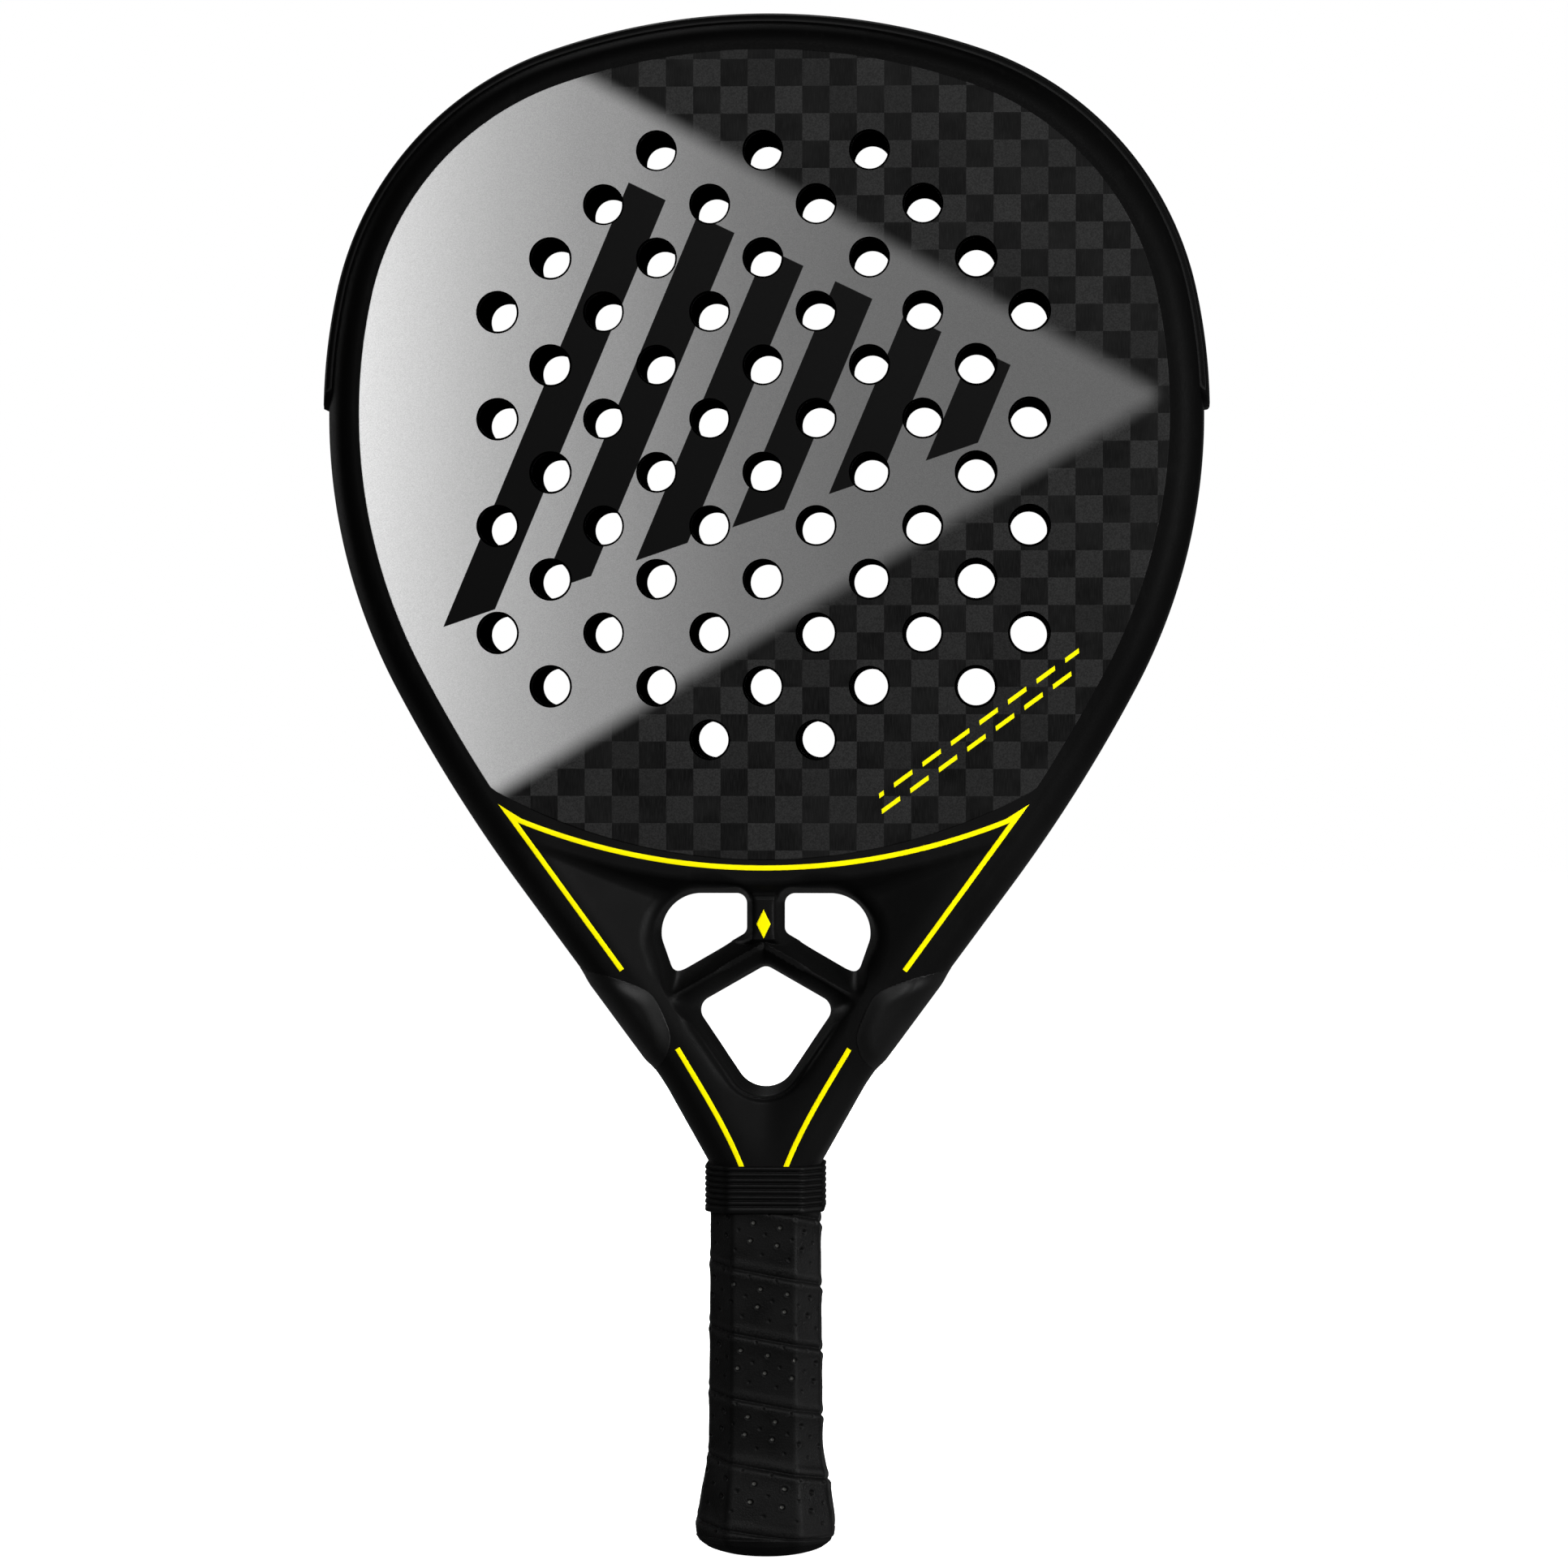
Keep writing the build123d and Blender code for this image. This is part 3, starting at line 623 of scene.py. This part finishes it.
def make_grip(look):
    """Perforated tape wound round the handle: a height field with seams, punched holes and soft swelling."""
    count = 330
    top_z, low_z = GRIP_RINGS[-1][0], GRIP_RINGS[0][0]
    z_rows = np.concatenate([np.arange(top_z, low_z, -0.31), [low_z]])
    growth = np.array(GRIP_RINGS).T
    width = SEAM_PITCH * math.cos(TAPE_SLANT)
    points = []
    waves = np.random.default_rng(7).uniform(0, 2 * math.pi, (6, 2))
    for z in z_rows:
        grow = float(np.interp(z, *growth))
        if 6.0 < z < 36:
            grow = float(np.mean([np.interp(z + d, *growth) for d in (-3, -1.5, 0, 1.5, 3)]))
        ring, way, share, _ = octagon_ring(grow, 2.2 + 0.35 * max(grow - 1.8, 0), count)
        along, across = tape_coordinates((share - 0.5) * GRIP_RUN, z)
        top = width - across
        relief = -0.62 * np.exp(-(np.minimum(across, top) / 0.42) ** 1.3)
        relief += 0.20 * np.exp(-((across - 1.9) / 1.1) ** 2) + 0.16 * np.exp(-((top - 1.3) / 0.8) ** 2)
        relief += 0.28 * (1 - smooth_step(0, 5.5, top))
        relief += 0.05 * np.sin(0.23 * along + waves[0, 0] + 0.5 * np.sin(0.31 * across + waves[1, 0]))
        relief += 0.04 * np.sin(0.41 * along - 0.37 * across + waves[2, 0]) * np.sin(0.29 * z + waves[3, 0])
        big = lattice_distance(along, across, BIG_ROWS, 0.0)
        small = lattice_distance(along, across, SMALL_ROWS, 0.5)
        inside = smooth_step(7.2, 9.0, z) * smooth_step(103.4, 102.6, z)
        relief -= inside * (0.75 * smooth_step(0.78, 0.42, big) + 0.4 * smooth_step(0.5, 0.2, small))
        relief += inside * 0.06 * np.exp(-((big - 1.0) / 0.35) ** 2)
        relief *= smooth_step(2.9, 5.0, z)
        spot = ring + way * relief[:, None]
        points.append(np.column_stack([spot[:-1], np.full(count, z)]))
    # each face corner's mm round the handle, from the middle of the front, and height
    around, height = np.meshgrid((share - 0.5) * GRIP_RUN, z_rows)
    place = np.stack([around, height], axis=-1)
    uv = np.stack([place[:-1, :-1], place[1:, :-1], place[1:, 1:], place[:-1, 1:]], axis=2)
    quads = grid_quads(len(z_rows), count, closed=True)
    return add_piece("grip_wrap", [domed(np.concatenate(points))], [quads], look,
                     ("grip_tape", "finishing_tape"), uv=uv)


def ring_stack(rings, size, corner, count):
    """Points of rounded octagons stacked at (z, growth); corner gives each one's radius from its growth."""
    return np.concatenate([np.column_stack([octagon_ring(grow, corner(grow), count, size)[0][:-1], np.full(count, z)])
                           for z, grow in rings])


def make_collar(look):
    """Ribbed rubber ring between grip and moulding."""
    low, high = COLLAR_Z
    rings = [(low + 0.05, -1.5), (low, -0.9), (low + 0.02, -0.45), (low + 0.25, -0.12), (low + 0.6, 0)]
    pitch = (high - low - 2.1) / COLLAR_RIBS
    rings += [(low + 1.75 + (rib + share) * pitch, grow) for rib in range(COLLAR_RIBS) for share, grow in RIB]
    rings += [(high - 0.45, 0), (high - 0.15, -0.1), (high - 0.02, -0.4), (high, -0.9), (high + 0.02, -2.2),
              (high, -3.4)]
    count = 200
    points = ring_stack(rings, COLLAR, lambda grow: 3.0, count)
    quads = grid_quads(len(rings), count, closed=True)[:, ::-1]
    add_piece("collar_ring", [points], [quads], look, ("grip_collar",))


def make_butt_cap(look):
    """Rounded end cap with two blind holes for a wrist cord."""
    count, hole_count = 160, 32
    side = ring_stack(BUTT_RINGS, PALLET, lambda grow: 3.0 + 0.2 * max(grow, 0), count)
    circle = unit_circle(hole_count)
    centres = [np.array((x, 0.0)) for x in (-CORD_HOLE_X, CORD_HOLE_X)]
    mouth = CORD_HOLE[0][0]
    verts, triangles = fill_between([side[-count:, :2]] + [centre + circle * mouth for centre in centres],
                                    [(centre, mouth - 0.2) for centre in centres])
    faces = [grid_quads(len(BUTT_RINGS), count, closed=True), len(side) + triangles[:, ::-1]]
    points = [side, np.column_stack([verts, np.zeros(len(verts))])]
    first = len(side) + len(verts)
    for centre in centres:
        points += [np.column_stack([centre + circle * radius, np.full(hole_count, z)]) for radius, z in CORD_HOLE]
        faces.append(grid_quads(len(CORD_HOLE), hole_count, closed=True, offset=first))
        first += len(CORD_HOLE) * hole_count
    add_piece("butt_end", [domed(part) for part in points], faces, look, ("butt_cap",))


# ---- materials

class Shader:
    """A Principled material, with short calls for its nodes. A value that is a socket gets linked."""

    def __init__(self, name, **values):
        self.material = bpy.data.materials.new(name)
        self.material.use_nodes = True
        self.tree = self.material.node_tree
        self.surface = self.tree.nodes["Principled BSDF"]
        self.put(self.surface, {k.replace("_", " "): v for k, v in values.items()})
        place = self.add("TexCoord", {})
        self.place = self.scale(place.outputs["Object"], 1000.0)
        self.x, self.y, self.z = self.add("SeparateXYZ", {0: self.place}).outputs

    def put(self, node, values):
        for key, value in values.items():
            if isinstance(value, bpy.types.NodeSocket):
                self.tree.links.new(value, node.inputs[key])
            else:
                node.inputs[key].default_value = value

    def add(self, kind, values, **settings):
        node = self.tree.nodes.new("ShaderNode" + kind)
        for key, value in settings.items():
            setattr(node, key, value)
        self.put(node, values)
        return node

    def math(self, operation, *terms):
        return self.add("Math", dict(enumerate(terms)), operation=operation).outputs[0]

    def plus(self, a, b):
        return self.math("ADD", a, b)

    def minus(self, a, b):
        return self.math("SUBTRACT", a, b)

    def times(self, a, b):
        return self.math("MULTIPLY", a, b)

    def size(self, a):
        return self.math("ABSOLUTE", a)

    def repeat(self, value, pitch):
        """Share of the way through each pitch."""
        return self.math("FRACT", self.math("DIVIDE", value, pitch))

    def weighted(self, *pairs):
        """Sum of factor times value, and a constant last."""
        total = pairs[-1]
        for factor, value in pairs[:-1]:
            total = self.math("MULTIPLY_ADD", value, factor, total)
        return total

    def past(self, u, normal, point, shift=0.0):
        """Distance in the direction of normal from a line through point, both as (u, z)."""
        a, b = normal
        return self.weighted((a, u), (b, self.z), -a * point[0] - b * point[1] + shift)

    def ramp(self, value, low, high, to_low=0.0, to_high=1.0, kind="SMOOTHSTEP"):
        limits = {0: value, 1: low, 2: high, 3: to_low, 4: to_high}
        return self.add("MapRange", limits, interpolation_type=kind).outputs[0]

    def band(self, value, low, high, soft=0.06):
        up = self.ramp(value, low - soft, low + soft)
        return self.times(up, self.fall(value, high - soft, high + soft))

    def fall(self, value, low, high):
        return self.ramp(value, low, high, 1.0, 0.0)

    def mix(self, share, a, b):
        return self.add("Mix", {0: share, 6: a, 7: b}, data_type="RGBA").outputs[2]

    def scale(self, vector, factor):
        return self.add("VectorMath", {0: vector, "Scale": factor}, operation="SCALE").outputs[0]

    def noise(self, scale, detail=3.0, stretch=None):
        """Noise with about scale features per mm."""
        place = self.place
        if stretch:
            place = self.add("Mapping", {0: place, "Scale": stretch}).outputs[0]
        return self.add("TexNoise", {"Vector": place, "Scale": scale, "Detail": detail}).outputs[0]

    def coat(self, colour, rough):
        self.put(self.surface, {"Base Color": colour, "Roughness": rough})

    def curve(self, value, stops):
        """Grey level from (position, level) stops."""
        node = self.add("ValToRGB", {0: value})
        elements = node.color_ramp.elements
        for k, (at, level) in enumerate(stops):
            element = elements[k] if k < 2 else elements.new(at)
            element.position = at
            element.color = (level, level, level, 1)
        return node.outputs[0]

    def bump(self, *layers):
        """Adds bump layers of (height, strength, depth in mm)."""
        normal = None
        for height, strength, depth in layers:
            values = {"Height": height, "Strength": strength, "Distance": depth * MM}
            if normal is not None:
                values["Normal"] = normal
            normal = self.add("Bump", values).outputs[0]
        self.put(self.surface, {"Normal": normal})


def grey(level):
    return (level, level, level, 1)


# the outward edge, which lacquer's side lightens with painted light, lies outside a slanting plane by the arms, or
# anywhere on the head
EDGE_PLANE_Z, EDGE_SLOPE = 115.0, 0.6
HEAD_Z = (200.0, 262.0)


def lacquer(name, level, rough, grain, grain_bump, wear=0.0, head=None, gloss=0.10, side=None):
    """Black satin surface with fine grain, faint clouding and light dust.

    head scales the base above the throat as painted shade, and side is the greyer level of painted light on the outward
    edge."""
    s = Shader(name, Specular_IOR_Level=gloss)
    fine, cloud = s.noise(grain, 4.0), s.noise(0.045, 3.0)
    dust = s.ramp(s.noise(0.9, 6.0), 0.66, 0.80)
    base = s.mix(s.ramp(cloud, 0.3, 0.7), grey(level * 0.82), grey(level * 1.18))
    base = s.mix(s.times(dust, 0.25), base, grey(level * 2.4))
    if head:
        # painted shade: the base over the head is darkened to head times its level
        up = s.ramp(s.z, *HEAD_Z)
        base = s.mix(up, base, grey(level * head))
        rough = s.math("MULTIPLY_ADD", up, 0.16, rough)
    if side:
        # painted light: the outward edge, seen from the side, gets a greyer base than the rest
        out = s.minus(s.size(s.x), s.times(s.minus(s.z, EDGE_PLANE_Z), EDGE_SLOPE))
        outward = s.math("MAXIMUM", s.ramp(out, 8.0, 12.0), s.ramp(s.z, *HEAD_Z))
        edge = s.times(outward, s.fall(s.size(s.y), 6.0, 11.5))
        painted_edge_light = s.mix(s.ramp(cloud, 0.3, 0.7), grey(side * 0.85), grey(side * 1.2))
        base = s.mix(edge, base, painted_edge_light)
    if wear:
        streaks = s.noise(0.35, 5.0, stretch=(1, 1, 0.3))
        base = s.mix(s.times(s.ramp(streaks, 0.55, 0.8), wear), base, grey(level * 3))
    s.coat(base, s.plus(rough, s.ramp(fine, 0.3, 0.7, -0.05, 0.06)))
    s.bump((cloud, 0.25, 0.25), (fine, 0.35, grain_bump))
    return s


def bumper_plastic():
    """Black plastic with painted light on its outward face, and a painted highlight: a thin paler line along both edges
    of the bumper.
    """
    s = lacquer("bumper_plastic", 0.0012, 0.55, 1.6, 0.05, wear=0.25, gloss=0.025, side=0.009)
    plain = s.surface.inputs["Base Color"].links[0].from_socket
    # painted highlight: a thin paler line where the bumper's edges catch the light
    line = s.band(s.size(s.y), 12.14, 12.30, 0.05)
    s.put(s.surface, {"Base Color": s.mix(line, plain, grey(0.011))})
    return s


# the face's print, as (u, z): u runs to the right when the face is looked at
TOW_PITCH = 7.9
TOW_START = (82.5 - 40 * TOW_PITCH, 357.9 - 80 * TOW_PITCH)
WEDGE_TOP = ((0.4847, 0.8747), (-48.6, 434.0), 0.9)
WEDGE_FOOT = ((0.5121, -0.8589), (-74.5, 223.6), 0.0)
SILVER_SHADE = [(0.0, 0.80), (0.085, 0.60), (0.15, 0.47), (0.20, 0.39), (0.29, 0.285), (0.34, 0.255), (0.385, 0.215),
                (0.47, 0.162), (0.60, 0.124), (0.75, 0.108), (1.0, 0.096)]
BAR_MIDDLE_Z, BAR_LEAN, BAR_PITCH, BAR_HALF = 337.0, 0.42, 24.0, 38.0
BAR_SPAN = (-66.0, 76.0)
DASH_START, DASH_ANGLE, DASH_PITCH = (34.0, 221.6), math.radians(36.1), 10.2
YELLOW_INK = (0.92, 0.86, 0.0, 1)


def carbon_tows(s, u):
    """Colour, fibre streaks and nearness of a gap in a checker of flat tows."""
    column = s.math("DIVIDE", s.minus(u, TOW_START[0]), TOW_PITCH)
    row = s.math("DIVIDE", s.minus(s.z, TOW_START[1]), TOW_PITCH)
    across, up = s.math("FLOOR", column), s.math("FLOOR", row)
    parity = s.math("MODULO", s.plus(across, up), 2.0)
    fibres = s.mix(parity, s.noise(1.0, 3.0, stretch=(0.25, 1.0, 4.0)), s.noise(1.0, 3.0, stretch=(4.0, 1.0, 0.25)))
    dark = s.mix(s.ramp(s.noise(0.13, 2.0), 0.3, 0.7), grey(0.0024), grey(0.0052))
    light = s.mix(s.ramp(s.noise(2.6, 3.0), 0.32, 0.68), grey(0.0100), grey(0.0200))
    cell = s.add("CombineXYZ", {0: across, 1: up}).outputs[0]
    own = s.add("TexWhiteNoise", {"Vector": cell}, noise_dimensions="3D").outputs[0]
    carbon = s.scale(s.mix(parity, light, dark), s.ramp(own, 0.0, 1.0, 0.80, 1.22))
    carbon = s.mix(s.times(s.ramp(fibres, 0.4, 0.75), 0.30), carbon, grey(0.021))
    gaps = [s.math("PINGPONG", s.math("FRACT", value), 0.5) for value in (column, row)]
    return carbon, fibres, s.math("MINIMUM", *gaps)


def silver_wedge(s, u, speck):
    """Share of silver between two slanting, softly sprayed edges that meet short of the rim."""
    spray = s.weighted((0.9, s.minus(speck, 0.5)), 0.0)
    above, below = (s.fall(s.plus(s.past(u, *edge), spray), -6.0, 1.6) for edge in (WEDGE_TOP, WEDGE_FOOT))
    return s.times(s.times(above, below), s.fall(u, 110.5, 117.5))


def slanted_bars(s, u):
    """Share of plain slanted bars, cut off aslant at both ends."""
    lean = s.past(u, (1.0, -BAR_LEAN), (0.0, BAR_MIDDLE_Z))
    share = s.repeat(s.minus(lean, BAR_SPAN[0]), BAR_PITCH)
    reach = s.weighted((1.0, s.size(s.minus(s.z, BAR_MIDDLE_Z))), (0.40, lean), 0.0)
    bar = s.times(s.band(share, 0.0, 0.54, 0.004), s.fall(reach, BAR_HALF - 0.1, BAR_HALF + 0.1))
    return s.times(bar, s.band(lean, *BAR_SPAN, 0.05))


def dash_rows(s, u):
    """Share of two rows of plain slanted dashes."""
    cos, sin = math.cos(DASH_ANGLE), math.sin(DASH_ANGLE)
    along, across = s.past(u, (cos, sin), DASH_START), s.past(u, (-sin, cos), DASH_START)
    slanted = s.weighted((1.0, along), (-0.55, across), 0.0)
    lower = s.times(s.band(across, -2.9, -1.7), s.band(s.repeat(slanted, DASH_PITCH), 0.02, 0.66, 0.006))
    shifted = s.repeat(s.plus(slanted, DASH_PITCH / 2), DASH_PITCH)
    upper = s.times(s.band(across, 1.2, 2.4), s.band(shifted, 0.02, 0.66, 0.006))
    return s.times(s.math("MAXIMUM", lower, upper), s.band(slanted, 0.0, 7 * DASH_PITCH))


def laminate(name, side):
    """Printed face: flat carbon tows, a soft silver wedge, and plain generic bars and dashes."""
    s = Shader(name, Specular_IOR_Level=0.03, Metallic=0.0)
    u = s.times(s.x, float(-side))
    speck = s.noise(6.0, 2.0)
    carbon, fibres, gap = carbon_tows(s, u)
    wedge = silver_wedge(s, u, speck)
    shade = s.curve(s.ramp(u, -125.0, 125.0, kind="LINEAR"), SILVER_SHADE)
    base = s.mix(wedge, carbon, s.scale(shade, s.ramp(speck, 0.3, 0.7, 0.86, 1.14)))
    base = s.mix(slanted_bars(s, u), base, grey(0.0022))
    base = s.mix(dash_rows(s, u), base, YELLOW_INK)
    rough = s.mix(wedge, s.ramp(fibres, 0.3, 0.7, 0.44, 0.56), s.ramp(speck, 0.3, 0.7, 0.36, 0.48))
    s.coat(base, rough)
    woven = s.minus(1.0, wedge)
    s.bump((s.times(s.ramp(gap, 0.0, 0.07), woven), 0.25, 0.05), (s.times(fibres, woven), 0.25, 0.04),
           (speck, 0.2, 0.012))
    return s


def trim_paint():
    """Yellow paint, a little uneven."""
    s = Shader("trim_paint", Specular_IOR_Level=0.03)
    cloud, fine = s.noise(0.12, 3.0), s.noise(3.0, 3.0)
    base = s.mix(s.ramp(cloud, 0.3, 0.7), (0.93, 0.83, 0.0, 1), (0.99, 0.89, 0.0, 1))
    base = s.mix(s.ramp(fine, 0.7, 0.85, 0, 0.3), base, (0.55, 0.5, 0.01, 1))
    s.coat(base, s.ramp(fine, 0.3, 0.7, 0.34, 0.46))
    s.bump((fine, 0.15, 0.02))
    return s


def hole_spots(s, along, above, rows, phase):
    """Distance to the nearest of the tape's evenly spaced holes, as lattice_distance has it."""
    shifted = s.plus(along, (phase + 0.5) * TAPE_SPACING - HOLE_PHASE + 100 * TAPE_SPACING)
    off = s.minus(s.times(s.repeat(shifted, TAPE_SPACING), TAPE_SPACING), TAPE_SPACING / 2)
    nearest = None
    for row in rows:
        gap = s.size(s.minus(above, row))
        nearest = gap if nearest is None else s.math("MINIMUM", nearest, gap)
    return s.math("SQRT", s.plus(s.times(off, off), s.times(nearest, nearest)))


def grip_leather():
    """Black PU tape with leather grain; its punched holes show a pale underlay on the flats, and painted shade darkens
    it on the side facets.
    """
    s = Shader("grip_leather", Specular_IOR_Level=0.06, Sheen_Weight=0.005, Sheen_Roughness=0.5)
    uv = s.add("UVMap", {}, uv_map="tape").outputs[0]
    around, height, _ = s.add("SeparateXYZ", {0: uv}).outputs
    cos, sin = math.cos(TAPE_SLANT), math.sin(TAPE_SLANT)
    # tape_coordinates again, in nodes
    drop = s.weighted((-math.tan(TAPE_SLANT), around), (-1.0, height), SEAM_Z)
    turn = s.math("CEIL", s.math("DIVIDE", drop, SEAM_PITCH))
    above = s.times(s.minus(s.times(turn, SEAM_PITCH), drop), cos)
    total = s.math("MULTIPLY_ADD", turn, GRIP_RUN + TAPE_CREEP, around)
    along = s.weighted((cos, total), (-sin, height), 0.0)
    wave = s.math("SINE", s.times(around, 2 * math.pi / GRIP_RUN))
    along = s.math("MULTIPLY_ADD", wave, TAPE_WANDER, along)

    big, small = hole_spots(s, along, above, BIG_ROWS, 0.0), hole_spots(s, along, above, SMALL_ROWS, 0.5)
    in_grip = s.times(s.ramp(height, 7.6, 8.6), s.fall(height, 102.6, 103.2))
    pores = s.add("TexVoronoi", {"Vector": s.place, "Scale": 1.35}, feature="DISTANCE_TO_EDGE").outputs["Distance"]
    fine, cloud = s.noise(2.2, 5.0), s.noise(0.07, 3.0)
    base = s.mix(s.ramp(cloud, 0.3, 0.7), grey(0.0022), grey(0.0042))
    base = s.mix(s.ramp(fine, 0.62, 0.85, 0.0, 0.35), base, grey(0.014))
    seam = s.math("MINIMUM", above, s.minus(SEAM_PITCH * cos, above))
    base = s.mix(s.fall(seam, 0.05, 0.5), base, grey(0.003))
    rub = s.times(s.band(seam, 0.7, 2.2, 0.6), s.ramp(fine, 0.35, 0.7))
    base = s.mix(s.times(rub, 0.4), base, grey(0.018))
    base = s.mix(s.times(s.fall(small, 0.25, 0.5), in_grip), base, grey(0.002))
    base = s.mix(s.times(s.band(big, 0.55, 0.78, 0.06), in_grip), base, grey(0.004))
    # painted shade: the pale floor of the big holes shows only on the front and back flats, and is dark on the side
    # facets
    flat = s.fall(s.math("PINGPONG", around, GRIP_RUN / 4), 8.8, 9.8)
    hole_floor_with_painted_shade = s.mix(flat, grey(0.0025), (0.075, 0.075, 0.070, 1))
    base = s.mix(s.times(s.fall(big, 0.44, 0.56), in_grip), base, hole_floor_with_painted_shade)
    rough = s.plus(s.ramp(fine, 0.3, 0.7, 0.40, 0.50), s.ramp(cloud, 0.35, 0.65, -0.04, 0.06))
    s.coat(base, rough)
    s.bump((cloud, 0.3, 0.3), (s.ramp(pores, 0.0, 0.22), 0.35, 0.07), (fine, 0.4, 0.06))
    return s


def foam(name, colour, scale):
    """Cellular foam; scale is in cells per mm."""
    s = Shader(name)
    cells = s.add("TexVoronoi", {"Vector": s.place, "Scale": scale}).outputs["Distance"]
    dark = tuple(c * 0.7 for c in colour[:3]) + (1,)
    s.coat(s.mix(cells, dark, colour), s.ramp(cells, 0.0, 1.0, 0.75, 0.95))
    s.bump((cells, 0.4, 0.2))
    return s


# ---- the racket

# head paints shade over the head, and side paints light on the outward edge
make_frame_shell(lacquer("frame_lacquer", 0.0036, 0.42, 2.4, 0.03, wear=0.10, head=0.26, gloss=0.038, side=0.012))
make_bumper(bumper_plastic())
for word, side in (("front", -1), ("back", 1)):
    make_face(word, side, laminate("laminate_" + word, side))
make_hole_walls(lacquer("core_edge", 0.0015, 0.55, 2.2, 0.05))
make_sleeves(lacquer("sleeve_rubber", 0.0040, 0.42, 3.0, 0.05, gloss=0.14))
make_trim_lines(trim_paint())
grip = make_grip(grip_leather())
make_collar(lacquer("collar_rubber", 0.0024, 0.40, 2.6, 0.04, gloss=0.06))
make_butt_cap(lacquer("cap_plastic", 0.0030, 0.52, 2.0, 0.05, wear=0.2, gloss=0.06))
hidden_foam = foam("rigid_foam", (0.62, 0.55, 0.40, 1), 1.2).material
for name in ("leg_spacer", "handle_foam_front", "handle_foam_back"):
    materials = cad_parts[name].data.materials
    materials.clear()
    materials.append(hidden_foam)

# ---- floor, light and camera

FLOOR_HALF = 6.0  # metres
WHITE = (1, 1, 1, 1)


def make_floor():
    """Pale floor that the camera sees as plain white, and that throws little light back."""
    s = Shader("studio_floor", Roughness=0.9, Specular_IOR_Level=0.1, Emission_Strength=0.97)
    s.put(s.surface, {"Base Color": s.mix(s.noise(0.002, 2.0), grey(0.90), grey(0.93)), "Emission Color": WHITE})
    dim = s.add("BsdfDiffuse", {"Color": grey(0.10)})
    seen = s.add("MixShader", {0: s.add("LightPath", {}).outputs["Is Camera Ray"],
                               1: dim.outputs[0], 2: s.surface.outputs[0]})
    s.put(s.tree.nodes["Material Output"], {0: seen.outputs[0]})
    mesh = bpy.data.meshes.new("floor")
    mesh.from_pydata([(x * FLOOR_HALF, y * FLOOR_HALF, 0) for x, y in ((-1, -1), (1, -1), (1, 1), (-1, 1))], [],
                     [(0, 1, 2, 3)])
    mesh.materials.append(s.material)
    floor = add_object("floor", mesh)


def make_world():
    """White behind the racket, and a dim even light round it."""
    world = bpy.data.worlds.new("studio_world")
    bpy.context.scene.world = world
    world.use_nodes = True
    nodes, links = world.node_tree.nodes, world.node_tree.links
    light, backdrop = nodes["Background"], nodes.new("ShaderNodeBackground")
    for background, strength in ((light, 0.035), (backdrop, 1.0)):
        background.inputs[0].default_value = WHITE
        background.inputs[1].default_value = strength
    seen, ray = nodes.new("ShaderNodeMixShader"), nodes.new("ShaderNodeLightPath")
    links.new(ray.outputs["Is Camera Ray"], seen.inputs[0])
    links.new(light.outputs[0], seen.inputs[1])
    links.new(backdrop.outputs[0], seen.inputs[2])
    links.new(seen.outputs[0], nodes["World Output"].inputs[0])


def aim(name, data, place, target):
    """Adds a light or a camera at place, turned towards target."""
    thing = add_object(name, data)
    thing.location = place
    thing.rotation_mode = "QUATERNION"
    thing.rotation_quaternion = (Vector(target) - Vector(place)).to_track_quat("-Z", "Y")
    return thing


def add_light(name, place, size, power, glossy=True):
    """Soft rectangle of light aimed at the racket; without glossy it lights surfaces but leaves no reflection."""
    light = bpy.data.lights.new(name, "AREA")
    light.shape = "RECTANGLE"
    light.size, light.size_y = size
    light.energy = power
    aim(name, light, place, (0.0, 0.0, 0.25)).visible_glossy = glossy


make_floor()
make_world()
add_light("front_soft", (0.2, -1.85, 0.95), (0.7, 0.7), 24)
add_light("key_right", (1.55, -1.15, 0.45), (0.5, 1.0), 27)
add_light("low_right", (1.75, -0.6, 0.16), (0.4, 0.3), 12)
add_light("back_soft", (-0.3, 1.9, 0.8), (0.9, 0.9), 26, glossy=False)
add_light("back_top", (-0.3, 1.15, 1.65), (0.8, 0.6), 8)
add_light("fill_left", (-1.9, 0.5, 0.8), (0.8, 0.8), 26, glossy=False)
add_light("fill_right", (1.9, 0.5, 0.8), (0.8, 0.8), 14, glossy=False)
add_light("left_side", (-1.5, 1.2, 0.45), (0.5, 1.0), 4)

camera = bpy.data.cameras.new("camera")
camera.lens = 107.9
camera.sensor_width = 36
camera.clip_start, camera.clip_end = 0.05, 30
bpy.context.scene.camera = aim("camera", camera, (0.0649, -1.380, 0.2473), (0.0053, 0.0, 0.2268))
bpy.context.scene.view_settings.view_transform = "Standard"
